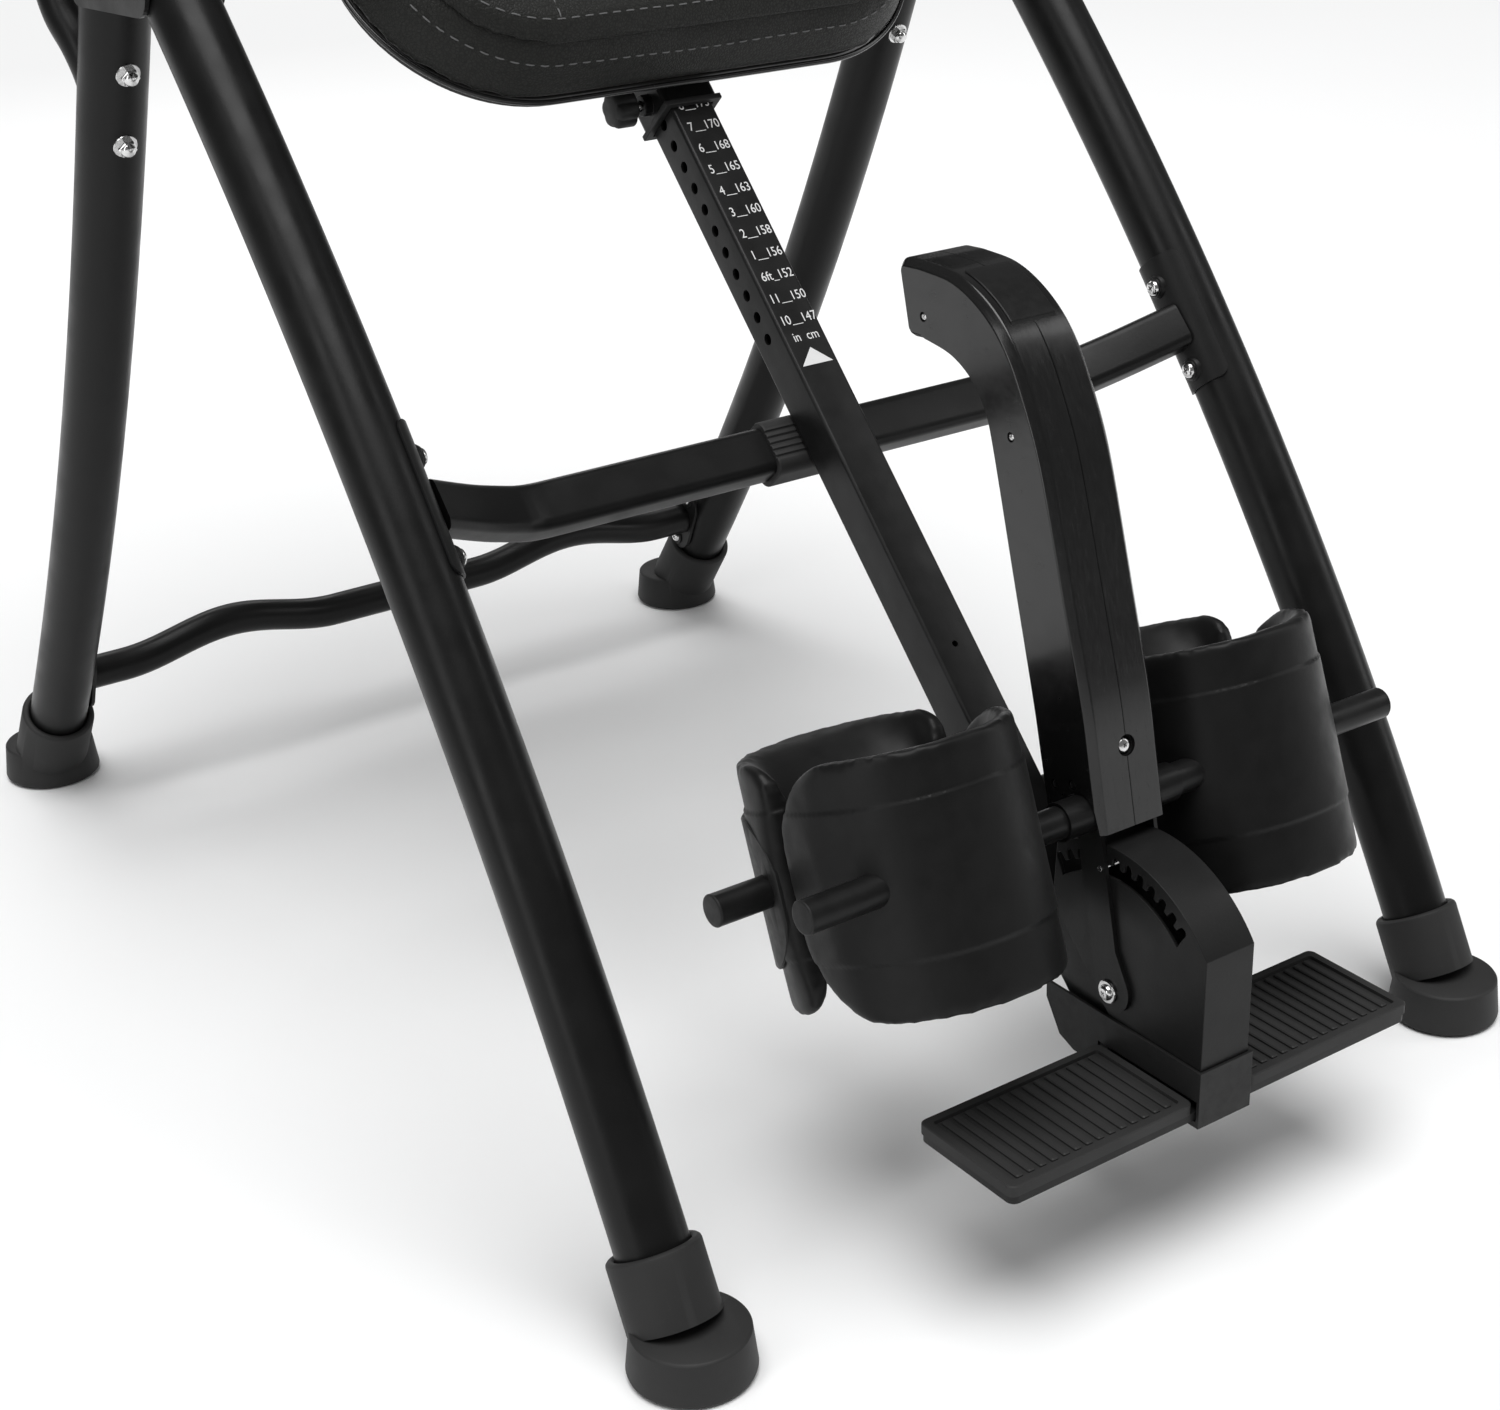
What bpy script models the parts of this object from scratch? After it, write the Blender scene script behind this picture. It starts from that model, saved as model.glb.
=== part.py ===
"""Inversion table with a folding A-frame, a rocking backrest and a ratcheting ankle clamp.

Metres, +Z up. The foot end faces -Y and the table is upright at rest, leaning on the front
crossbar. The origin is on the floor below the middle of the table's length and width.
"""

from math import asin, atan2, cos, pi, radians, sin, sqrt

import bmesh
import bpy
from mathutils import Matrix, Vector

# Driving dimensions

GAP = 0.0003                      # between pieces that touch on the real table

LEG_X = 0.330                     # middle plane of the legs, each side
FOOT_Y = 0.512                    # feet, front and rear of the middle
LEG_R = 0.0233
LEG_WALL = 0.0018
APEX = (0.0874, 0.798)            # where the leg axes of one side cross, as (y, z)
FRONT_BOW = 0.0433                # both pairs of legs curve towards the foot end,
REAR_BOW = 0.0317                 # so that they nest when folded
LEG_START = 0.028                 # share of the leg's length that the foot's sole takes
FRONT_LEG_END = 0.970
FOOT_R = 0.0395
FOOT_TOP_R = 0.0365
FOOT_SOLE = 0.031
FOOT_COLLAR_R = 0.0298
FRONT_COLLAR = 0.064              # length of a foot's collar along its leg
REAR_COLLAR = 0.079
FOOT_INWARD = 0.002               # of the soles, from the legs' axes
REAR_FOOT_FORWARD = 0.008

FOLD_PIN = (0.107, 0.747)         # (y, z) of the hinge of the rear legs
FOLD_PIN_R = 0.005
REAR_LEG_PAST_PIN = 0.010
PIVOT = (0.085, 0.830)            # (y, z) of the axis that the backrest rocks on
PIVOT_R = 0.009
PLATE = 0.003                     # thickness of steel plates
FRONT_LEG_BOLT = (0.020, 0.733)
CAM_EYE = (0.050, 0.815)

TABLE_ANGLE = radians(46.33)      # of the backrest above the floor
SHAFT_MOUTH = (-0.0485, 0.6145)   # (y, z) on the shaft's axis, level with the lowest stop hole
HEIGHT_W = 0.034                  # the square tube that sets the user's height
HEIGHT_H = 0.033
HEIGHT_WALL = 0.002
HEIGHT_LOW = -0.672
HEIGHT_HIGH = 0.350
HOLE_PITCH = 0.01727
HOLE_R = 0.0036
HOLES_BELOW = 10
HOLES_ABOVE = 10
SHAFT_W = 0.0430                  # the square tube that the height shaft slides in
SHAFT_H = 0.0406
SHAFT_WALL = 0.0018
SHAFT_LOW = 0.0063
SHAFT_TOP = 0.930
COLLAR_LOW = 0.0020               # the bushing in the main shaft's mouth
COLLAR_HIGH = 0.060
COLLAR_RIM = 0.0013               # how far its rim stands out past the tube
KNOB_S = HOLE_PITCH
KNOB_R = 0.0130
HOUSING_X = -0.0278
PIN_TIP = -0.0176                 # pulled clear of the height shaft
PIN_R = 0.0030

BOARD_N = 0.0236                  # underside of the board above the shaft's axis
BOARD = 0.010
CUSHION = 0.044
PANEL = 0.008
PANEL_INSET = 0.028               # of the raised panel, from the cushion's sides
PANEL_LOW = 0.0244
PANEL_TOP = 0.760
PANEL_LOW_R = 0.108
PANEL_TOP_R = 0.060
BACK_LOW = 0.008
BACK_TOP = 0.9909                 # puts the origin below the middle of the length
BACK_HALF = 0.228
BACK_TOP_HALF = 0.200
BACK_LOW_R = 0.118
BACK_TOP_R = 0.100
HEAD_CUSHION = (0.790, 0.950)     # from and to, along the backrest
HEAD_CUSHION_HALF = 0.130
BEAM_HALF = 0.014
ARM_X = 0.262                     # inner face of the pivot arms

BAR_S = -0.240                    # middle of the front crossbar, along and across the shaft
BAR_N = -0.0323
BAR_LONG = 0.034
BAR_THICK = 0.024
BAR_BEND_X = 0.226
BAR_END = (-0.2275, 0.4517)
BAR_WALL = 0.002
BUMPER_X = 0.040
BUMPER = 0.0033

REAR_BAR = (0.4495, 0.106)
REAR_BAR_R = 0.014
REAR_BAR_RISE = 0.0155            # of the two humps
REAR_BAR_HUMP = (0.172, 0.100)    # where they are, and half their length

HANDLE_R = 0.0128
HANDLE_WALL = 0.0016
GRIP_R = 0.0172

ANKLE_PIVOT = (-0.5315, 0.1545)
FRONT_ROD = (-0.5062, 0.2699)
REAR_ROD_S = -0.5274
ROD_R = 0.0105
ROD_HALF = 0.2365
BRACKET_SHEET = 0.0025
BRACKET_R = 0.0985                # outer radius of the bracket about the ankle pivot
BRACKET_FRONT = -0.6122
BRACKET_BACK = -0.4735
BRACKET_BACK_LOW = 0.1937         # its back edge runs along the tube from here
BRACKET_LOW_Y = -0.5497            # to here
SLOT_R = (0.0778, 0.0855, 0.0922)  # inner edge, tips of the teeth, bottoms of the notches
SLOT_BEFORE = 4                   # notches behind the one that holds the arms at rest
SLOT_STEP = 6.96                  # degrees
SLOT_NOTCHES = 12
REST_NOTCH = 82.5                 # degrees about the ankle pivot
FOOTPLATE_HALF = 0.168
TREAD_FROM = 0.0232               # each side
FOOTPLATE_Y = (-0.612, -0.523)
FOOTPLATE_Z = (0.1000, 0.1135)
SHOE_TOP = 0.1350
SHOE_BOTTOM = 0.0955
SHOE_SHEET = 0.0020
ARM_SHEET = 0.0028
ARM_HALF = 0.0112
ARM_LOBE = (-0.5340, 0.1575)       # the wider end round the pivot
ARM_LOBE_R = 0.0155
HUB_R = 0.0125
HUB_HALF = 0.0460
STUB = 0.060                      # length of the post that carries the lever

CUFF_X = 0.125
CUFF_HALF = 0.071
CUFF_HEIGHT = (-0.0835, 0.0800)
CUFF_TILT = radians(21.0)
FRONT_CUFF = {"outer": 0.0387, "inner": -0.016, "reach": 0.0715, "corner": 0.056, "end_r": 0.060}
REAR_CUFF = {"outer": 0.0547, "inner": -0.013, "reach": 0.0230, "corner": 0.066, "end_r": 0.020}
CUFF_WALL = 0.021
BACKING = 0.003
BACKING_HEIGHT = (-0.052, 0.044)

LEVER_HALF = 0.0278
LEVER_WALL = 0.0028
LEVER_CHAMFER = 0.0050

ROUND = 16                        # sides of a large tube


# Building blocks


def clear_scene():
    for obj in list(bpy.data.objects):
        bpy.data.objects.remove(obj, do_unlink=True)


def make_material(name, color, roughness, metallic=0.0):
    material = bpy.data.materials.new(name)
    material.use_nodes = True
    surface = material.node_tree.nodes["Principled BSDF"]
    surface.inputs["Base Color"].default_value = (*color, 1.0)
    surface.inputs["Roughness"].default_value = roughness
    surface.inputs["Metallic"].default_value = metallic
    return material


def make_axis(name, place=(0.0, 0.0, 0.0), parent=None):
    """An empty at a joint's axis. Its children are modelled in world coordinates."""
    axis = bpy.data.objects.new(name, None)
    bpy.context.scene.collection.objects.link(axis)
    axis["place"] = place
    axis.parent = parent
    above = Vector(parent["place"]) if parent else Vector()
    axis.location = Vector(place) - above
    return axis


def add_solid(name, bm, material, axis, hidden=False):
    """Turns a bmesh drawn in world coordinates into an object that hangs on an axis."""
    bmesh.ops.recalc_face_normals(bm, faces=bm.faces)
    mesh = bpy.data.meshes.new(name)
    bm.to_mesh(mesh)
    bm.free()
    mesh.transform(Matrix.Translation(-Vector(axis["place"])))
    mesh.shade_smooth()
    mesh.set_sharp_from_angle(angle=radians(35))
    if material:
        mesh.materials.append(material)
    obj = bpy.data.objects.new(name, mesh)
    bpy.context.scene.collection.objects.link(obj)
    obj.parent = axis
    if hidden:
        obj.hide_render = True
        obj.display_type = "WIRE"
    return obj


def join_with(obj, bm, operation, axis):
    """Adds a Boolean of one hidden helper."""
    helper = add_solid(f"{obj.name}_{operation.lower()}_{len(obj.modifiers)}", bm, None, axis, True)
    modifier = obj.modifiers.new(operation.title(), "BOOLEAN")
    modifier.operation = operation
    modifier.object = helper


def cut(obj, bm, axis):
    join_with(obj, bm, "DIFFERENCE", axis)


def union(obj, bm, axis):
    join_with(obj, bm, "UNION", axis)


def ring_face(bm, ring, reverse=False):
    bm.faces.new(reversed(ring) if reverse else ring)


def skin(rings, bores=None):
    """A tube through closed rings of points, solid or with a bore that is open at both ends."""
    bm = bmesh.new()
    outer = [[bm.verts.new(point) for point in ring] for ring in rings]
    inner = [[bm.verts.new(point) for point in ring] for ring in bores or []]
    for shell in (outer, inner):
        for low, high in zip(shell, shell[1:]):
            for i in range(len(low)):
                j = (i + 1) % len(low)
                bm.faces.new((low[i], low[j], high[j], high[i]))
    if not inner:
        ring_face(bm, outer[0], True)
        ring_face(bm, outer[-1])
        return bm
    for low, high in ((outer[0], inner[0]), (outer[-1], inner[-1])):
        for i in range(len(low)):
            j = (i + 1) % len(low)
            bm.faces.new((low[i], low[j], high[j], high[i]))
    return bm


def circle(radius, sides=ROUND):
    return [(radius * cos(2 * pi * i / sides), radius * sin(2 * pi * i / sides)) for i in range(sides)]


def arc(centre, radius, start, end, steps):
    """Points of an arc, angles in degrees."""
    turns = [radians(start + (end - start) * i / steps) for i in range(steps + 1)]
    return [(centre[0] + radius * cos(t), centre[1] + radius * sin(t)) for t in turns]


def rounded_rect(width, height, radius, steps=3):
    """A rectangle about the origin with round corners, anticlockwise."""
    points = []
    for sx, sy, start in ((1, 1, 0), (-1, 1, 90), (-1, -1, 180), (1, -1, 270)):
        corner = (sx * (width / 2 - radius), sy * (height / 2 - radius))
        points += arc(corner, radius, start, start + 90, steps)
    return points


def sweep(stations, profile, bore=None):
    """Skins a profile through stations of (centre, first axis, second axis)."""

    def rings(shape):
        return [[c + a * p + b * q for p, q in shape] for c, a, b in stations]

    return skin(rings(profile), rings(bore) if bore else None)


def path_stations(points):
    """Stations along a path that lies in a plane across X, or nearly so."""
    stations = []
    for i, point in enumerate(points):
        ahead = points[min(i + 1, len(points) - 1)] - points[max(i - 1, 0)]
        along = ahead.normalized()
        side = Vector((1, 0, 0)) - along * along.x
        side.normalize()
        stations.append((point, side, along.cross(side)))
    return stations


def tube(points, radius, wall=None, sides=ROUND):
    bore = circle(radius - wall, sides) if wall else None
    return sweep(path_stations(points), circle(radius, sides), bore)


def rod_x(place, radius, x_from, x_to, sides=ROUND, bore=None):
    """A cylinder along X at (y, z)."""
    stations = [(Vector((x, *place)), Vector((0, 1, 0)), Vector((0, 0, 1))) for x in (x_from, x_to)]
    return sweep(stations, circle(radius, sides), circle(bore, sides) if bore else None)


def prism_x(outline, x_from, x_to):
    """An outline of (y, z) points, extruded along X."""
    return skin([[Vector((x, y, z)) for y, z in outline] for x in (x_from, x_to)])


def on_table(s, n, x=0.0):
    """A point s along the main shaft and n above its axis."""
    c, q = cos(TABLE_ANGLE), sin(TABLE_ANGLE)
    return Vector((x, SHAFT_MOUTH[0] + s * c - n * q, SHAFT_MOUTH[1] + s * q + n * c))


def table_yz(s, n):
    return tuple(on_table(s, n))[1:]


ALONG = Vector((0, cos(TABLE_ANGLE), sin(TABLE_ANGLE)))
ABOVE = Vector((0, -sin(TABLE_ANGLE), cos(TABLE_ANGLE)))
ACROSS = Vector((1, 0, 0))


def table_prism(outline, x_from, x_to):
    """An outline of (s, n) points, extruded along X."""
    return prism_x([table_yz(s, n) for s, n in outline], x_from, x_to)


def table_box(s, n, x):
    """A box along the shaft, from pairs of limits."""
    rings = []
    for place in s:
        corners = ((x[0], n[0]), (x[1], n[0]), (x[1], n[1]), (x[0], n[1]))
        rings.append([on_table(place, height, side) for side, height in corners])
    return skin(rings)


def box(x, y, z):
    corners = ((y[0], z[0]), (y[1], z[0]), (y[1], z[1]), (y[0], z[1]))
    return prism_x(corners, x[0], x[1])


def hull_of_circles(circles, steps=8):
    """The convex outline around (centre, radius) circles in the YZ plane."""
    points = []
    for centre, radius in circles:
        points += arc(centre, radius, 0, 360 - 360 / (4 * steps), 4 * steps - 1)
    points = sorted(set((round(y, 6), round(z, 6)) for y, z in points))

    def half(run):
        chain = []
        for y, z in run:
            while len(chain) > 1:
                (ay, az), (by, bz) = chain[-2:]
                if (by - ay) * (z - az) - (bz - az) * (y - ay) > 0:
                    break
                chain.pop()
            chain.append((y, z))
        return chain[:-1]

    return half(points) + half(points[::-1])


def mirrored(points):
    return [Vector((-p.x, p.y, p.z)) for p in points]


# Legs


def leg_point(foot_y, bow, share, x):
    """A point on a leg's curved axis, from the floor (0) to where the axes cross (1)."""
    foot = Vector((x, foot_y, 0))
    top = Vector((x, *APEX))
    ahead = (top - foot).normalized()
    forward = Vector((0, -ahead.z, ahead.y)) if ahead.z > 0 else ahead
    if forward.y > 0:
        forward = -forward
    return foot.lerp(top, share) + forward * (4 * bow * share * (1 - share))


def leg_axis(foot_y, bow, start, end, x, steps=12):
    shares = [start + (end - start) * i / steps for i in range(steps + 1)]
    return [leg_point(foot_y, bow, share, x) for share in shares]


def rear_leg_end():
    """The share of the rear leg's axis that ends just past the fold pin."""
    low, high = 0.5, 1.0
    target = FOLD_PIN[1] + REAR_LEG_PAST_PIN
    for _ in range(40):
        middle = (low + high) / 2
        if leg_point(FOOT_Y, REAR_BOW, middle, LEG_X).z < target:
            low = middle
        else:
            high = middle
    return low


def make_leg(name, side, foot_y, bow, end, axis, material):
    points = leg_axis(foot_y, bow, LEG_START, end, side * LEG_X)
    return add_solid(name, tube(points, LEG_R, LEG_WALL), material, axis)


def make_foot(name, side, foot_y, bow, leg_end, length, axis, material):
    x = side * LEG_X
    sole_x = x - side * FOOT_INWARD
    sole_y = min(foot_y, FOOT_Y - REAR_FOOT_FORWARD)
    sole = [Vector((sole_x, sole_y, z)) for z in (0.0, 0.004, FOOT_SOLE - 0.004, FOOT_SOLE)]
    radii = (FOOT_R - 0.002, FOOT_R, FOOT_TOP_R, FOOT_TOP_R - 0.004)
    rings = []
    for centre, radius in zip(sole, radii):
        rings.append([centre + Vector((p, q, 0)) for p, q in circle(radius, 24)])
    foot = add_solid(name, skin(rings), material, axis)
    start = leg_point(foot_y, bow, 0.0, x)
    lean = (leg_point(foot_y, bow, 0.06, x) - start).normalized()
    base = start + lean * 0.012
    collar = [base, base + lean * (length - 0.014)]
    union(foot, tube(collar, FOOT_COLLAR_R, sides=24), axis)
    socket = leg_axis(foot_y, bow, LEG_START, leg_end, x)[:4]
    socket[0] = socket[0] - (socket[1] - socket[0]).normalized() * GAP
    cut(foot, tube(socket, LEG_R + GAP), axis)
    ground = skin([[Vector((p * 0.1 + x, q * 0.1 + foot_y, z)) for p, q in circle(1, 8)] for z in (-0.05, 0)])
    cut(foot, ground, axis)
    return foot


# Front frame


def make_hinge_plates(side, axis, material):
    """Two plates on each side that hold the legs' tops and the rocking pin's bearing."""
    lobes = ((PIVOT, 0.021), (FOLD_PIN, 0.018), (FRONT_LEG_BOLT, 0.018), ((0.116, 0.722), 0.012))
    outline = hull_of_circles(lobes)
    inner = LEG_R + GAP
    names = {"inner": -1, "outer": 1}
    label = "left" if side < 0 else "right"
    for place, direction in names.items():
        near = side * LEG_X + side * direction * inner
        far = near + side * direction * PLATE
        plate = add_solid(f"hinge_plate_{place}_{label}", prism_x(outline, near, far), material, axis)
        mouth_r = PIVOT_R + 0.0004
        mouth = arc(PIVOT, mouth_r, 180, 360, 12) + [(PIVOT[0] + mouth_r, 0.9), (PIVOT[0] - mouth_r, 0.9)]
        cut(plate, prism_x(mouth, near - 0.01, far + 0.01), axis)
        cut(plate, rod_x(FOLD_PIN, FOLD_PIN_R + GAP, near - 0.01, far + 0.01), axis)


def make_fold_pin(side, axis, material):
    label = "left" if side < 0 else "right"
    half = LEG_R + GAP + PLATE
    middle = side * LEG_X
    shank = rod_x(FOLD_PIN, FOLD_PIN_R, middle - half - 0.002, middle + half + 0.002)
    pin = add_solid(f"fold_pin_{label}", shank, material, axis)
    for direction in (-1, 1):
        near = middle + direction * (half + GAP)
        union(pin, rod_x(FOLD_PIN, 0.009, near, near + direction * 0.005, 12), axis)
    return pin


def make_bearing(side, axis, material):
    """A block open at the top, between the hinge plates, in which the rocking pin turns."""
    label = "left" if side < 0 else "right"
    half = LEG_R
    y, z = PIVOT
    outer = 0.0185
    mouth_r = PIVOT_R + GAP
    outline = [(y + outer, z + 0.010)] + [(y + mouth_r, z + 0.010)]
    outline += arc(PIVOT, mouth_r, 360, 180, 14)
    outline += [(y - mouth_r, z + 0.010), (y - outer, z + 0.010)]
    outline += arc(PIVOT, outer, 180, 360, 14)
    middle = side * LEG_X
    return add_solid(f"bearing_{label}", prism_x(outline, middle - half, middle + half), material, axis)


def make_cam_lock(side, axis, material):
    """A latch outside the outer plate that hooks over the end of the rocking pin."""
    label = "left" if side < 0 else "right"
    near = side * (LEG_X + LEG_R + GAP + PLATE + 0.0015)
    far = near + side * 0.005
    hook = arc(PIVOT, PIVOT_R + 0.0006, 0, 200, 14) + arc(PIVOT, PIVOT_R + 0.0070, 200, 0, 14)
    latch = add_solid(f"cam_lock_{label}", prism_x(hook, near, far), material, axis)
    eye_to_hook = hull_of_circles(((CAM_EYE, 0.0085), ((0.0705, 0.8245), 0.0030)), 4)
    union(latch, prism_x(eye_to_hook, near, far), axis)
    return latch


def make_crossbar(axis, material):
    """A flat tube that bends up to the legs at each end."""
    middle = on_table(BAR_S, BAR_N)
    end = Vector((0, *BAR_END))
    reach = LEG_X - LEG_R - GAP - PLATE - GAP
    half = []
    bend = BAR_BEND_X
    for x, share in ((bend - 0.026, 0.0), (bend - 0.010, 0.01), (bend, 0.05), (bend + 0.010, 0.135), (reach, 1.0)):
        place = middle.lerp(end, share)
        half.append(Vector((x, place.y, place.z)))
    points = mirrored(half)[::-1] + half
    stations = [(p, ALONG, ABOVE) for p in points]
    outer = rounded_rect(BAR_LONG, BAR_THICK, 0.007, 3)
    inner = rounded_rect(BAR_LONG - 2 * BAR_WALL, BAR_THICK - 2 * BAR_WALL, 0.005, 3)
    return add_solid("front_crossbar", sweep(stations, outer, inner), material, axis)


def make_end_plate(name, side, centre, along, length, width, axis, material):
    """A plate with round ends that joins a crossbar to the inner side of a leg."""
    direction = Vector((0, *along)).normalized()
    tips = []
    for sign in (-1, 1):
        tip = Vector((0, *centre)) + direction * sign * (length - width) / 2
        tips.append(((tip.y, tip.z), width / 2))
    near = side * (LEG_X - LEG_R - GAP - PLATE)
    return add_solid(name, prism_x(hull_of_circles(tips, 5), near, near + side * PLATE), material, axis)


def make_bumper(axis, material):
    """A rubber sleeve on the crossbar, with ribs across the stop face made later as detail."""
    middle = on_table(BAR_S, BAR_N)
    stations = [(middle + ACROSS * x, ALONG, ABOVE) for x in (-BUMPER_X, BUMPER_X)]
    outer = rounded_rect(BAR_LONG + 2 * BUMPER, BAR_THICK + 2 * BUMPER, 0.010, 3)
    inner = rounded_rect(BAR_LONG + 2 * GAP, BAR_THICK + 2 * GAP, 0.0073, 3)
    return add_solid("crossbar_bumper", sweep(stations, outer, inner), material, axis)


# Rear frame


def make_rear_crossbar(axis, material):
    """A thin tube that rises at each side of the middle."""
    reach = LEG_X - LEG_R - GAP - PLATE - GAP
    points = []
    place, half = REAR_BAR_HUMP
    for i in range(25):
        x = -reach + 2 * reach * i / 24
        rise = REAR_BAR_RISE * (1 + cos(pi * min(abs(abs(x) - place) / half, 1))) / 2
        points.append(Vector((x, REAR_BAR[0], REAR_BAR[1] + rise)))
    stations = [(p, Vector((0, 1, 0)), Vector((0, 0, 1))) for p in points]
    bm = sweep(stations, circle(REAR_BAR_R, 12), circle(REAR_BAR_R - 0.0016, 12))
    return add_solid("rear_crossbar", bm, material, axis)


HANDLE_ROUTE = (
    (0.172, 0.600), (0.160, 0.630), (0.155, 0.655), (0.163, 0.677), (0.178, 0.697), (0.193, 0.722),
    (0.207, 0.758), (0.223, 0.810), (0.237, 0.862), (0.239, 0.915), (0.223, 0.965), (0.187, 1.003),
    (0.137, 1.025), (0.072, 1.034),
)
GRIP_FROM = 10
GRIP_TIP = 0.005


def handle_points(side):
    """The hand rail leaves the rear of the leg, sweeps back and comes forward over the pivot."""
    route = [Vector((side * (LEG_X + 0.004 * min(i, 4)), y, z)) for i, (y, z) in enumerate(HANDLE_ROUTE)]
    return route


def make_handlebar(side, axis, material):
    label = "left" if side < 0 else "right"
    points = handle_points(side)
    start = leg_point(FOOT_Y, REAR_BOW, 0.745, side * LEG_X)
    rail = add_solid(f"handlebar_{label}", tube(points, HANDLE_R, HANDLE_WALL, 12), material, axis)
    keep_out = leg_axis(FOOT_Y, REAR_BOW, 0.66, 0.90, side * LEG_X, 4)
    cut(rail, tube(keep_out, LEG_R + GAP), axis)
    return rail, start


def make_grip(side, axis, material):
    label = "left" if side < 0 else "right"
    stations = path_stations(handle_points(side))
    place, first, second = stations[-1]
    ahead = (place - stations[-2][0]).normalized()
    tip = [(place + ahead * far, first, second) for far in (GAP, GRIP_TIP)]
    grip = add_solid(f"handle_grip_{label}", sweep(stations[GRIP_FROM:] + tip[1:], circle(GRIP_R, 12)),
                     material, axis)
    bore = stations[GRIP_FROM - 1:] + tip[:1]
    cut(grip, sweep(bore, circle(HANDLE_R + GAP, 12)), axis)
    return grip


# Table


def make_main_shaft(axis, material):
    """The square tube behind the backrest, with the pull pin's housing on its left side."""
    stations = [(on_table(s, 0), ACROSS, ABOVE) for s in (SHAFT_LOW, SHAFT_TOP)]
    outer = rounded_rect(SHAFT_W, SHAFT_H, 0.0040, 2)
    inner = rounded_rect(SHAFT_W - 2 * SHAFT_WALL, SHAFT_H - 2 * SHAFT_WALL, 0.0008, 2)
    shaft = add_solid("main_shaft", sweep(stations, outer, inner), material, axis)
    place = table_yz(KNOB_S, 0)
    union(shaft, rod_x(place, 0.0075, -SHAFT_W / 2 + 0.001, HOUSING_X, 12), axis)
    cut(shaft, rod_x(place, HOLE_R, -0.05, 0.0, 12), axis)
    return shaft


def make_end_cap(axis, material):
    """The plug in the top end of the main shaft."""
    half_w = SHAFT_W / 2
    half_h = SHAFT_H / 2
    flange = table_box((SHAFT_TOP + GAP, SHAFT_TOP + 0.0035), (-half_h, half_h), (-half_w, half_w))
    cap = add_solid("shaft_end_cap", flange, material, axis)
    half_w -= SHAFT_WALL + GAP
    half_h -= SHAFT_WALL + GAP
    plug = table_box((SHAFT_TOP - 0.012, SHAFT_TOP + 0.002), (-half_h, half_h), (-half_w, half_w))
    union(cap, plug, axis)
    return cap


def make_collar(axis, material):
    """The plastic bushing between the main shaft and the height shaft, with a rim at the mouth."""
    half_w = SHAFT_W / 2
    half_h = SHAFT_H / 2
    rim = SHAFT_LOW - GAP
    inside = SHAFT_WALL + GAP
    lip_h = half_h + COLLAR_RIM
    lip_w = half_w + COLLAR_RIM
    lip = table_box((COLLAR_LOW, rim), (-lip_h, lip_h), (-lip_w, lip_w))
    collar = add_solid("shaft_collar", lip, material, axis)
    union(collar, table_box((COLLAR_LOW + 0.002, COLLAR_HIGH), (inside - half_h, half_h - inside),
                            (inside - half_w, half_w - inside)), axis)
    half_w = HEIGHT_W / 2 + GAP
    half_h = HEIGHT_H / 2 + GAP
    cut(collar, table_box((-0.05, 0.08), (-half_h, half_h), (-half_w, half_w)), axis)
    cut(collar, rod_x(table_yz(KNOB_S, 0), HOLE_R, -0.06, 0.0, 12), axis)
    return collar


def back_outline(inset=0.0, low=BACK_LOW, top=BACK_TOP, low_r=BACK_LOW_R, top_r=BACK_TOP_R):
    """The backrest's outline as (x, s), anticlockwise seen from above it."""
    half = BACK_HALF - inset
    top_half = BACK_TOP_HALF - inset
    low += inset
    top -= inset
    low_r -= inset
    top_r -= inset
    right = arc((half - low_r, low + low_r), low_r, -90, 0, 8)
    right += [(half, low + 0.45)]
    right += arc((top_half - top_r, top - top_r), top_r, 0, 90, 8)
    left = [(-x, s) for x, s in reversed(right)]
    return right + left


def table_slab(name, outline, n_from, n_to, axis, material, soften=0.0):
    """A slab of an (x, s) outline between two heights, its edges drawn in by soften."""
    heights = [n_from, n_to]
    if soften:
        heights = [n_from, n_from + soften, n_to - soften, n_to]
    centre = sum(s for _, s in outline) / len(outline)
    rings = []
    for i, n in enumerate(heights):
        edge = soften * 0.6 if soften and i in (0, len(heights) - 1) else 0.0
        reach = max(abs(x) for x, _ in outline)
        shrink = 1 - edge / reach
        rings.append([on_table(centre + (s - centre) * (1 - edge / 0.45), n, x * shrink) for x, s in outline])
    return add_solid(name, skin(rings), material, axis)


def make_backrest(axis, board_material, cushion_material):
    n = BOARD_N
    table_slab("backrest_board", back_outline(0.006), n, n + BOARD, axis, board_material)
    n += BOARD + GAP
    table_slab("backrest_cushion", back_outline(), n, n + CUSHION, axis, cushion_material, 0.012)
    n += CUSHION + GAP
    panel = back_outline(PANEL_INSET, PANEL_LOW - PANEL_INSET, PANEL_TOP + PANEL_INSET,
                         PANEL_LOW_R + PANEL_INSET, PANEL_TOP_R + PANEL_INSET)
    table_slab("backrest_panel", panel, n, n + PANEL, axis, cushion_material, 0.003)
    low, top = HEAD_CUSHION
    pad = [(x, s + (low + top) / 2) for x, s in rounded_rect(2 * HEAD_CUSHION_HALF, top - low, 0.045, 4)]
    table_slab("head_cushion", pad, n, n + 0.030, axis, cushion_material, 0.010)


def make_straps(axis, material):
    """Flat straps between the main shaft and the board."""
    half_h = SHAFT_H / 2
    for name, low in (("lower_strap", 0.100), ("upper_strap", 0.700)):
        bm = table_box((low, low + 0.040), (half_h + GAP, BOARD_N - GAP), (-0.180, 0.180))
        add_solid(name, bm, material, axis)


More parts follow.
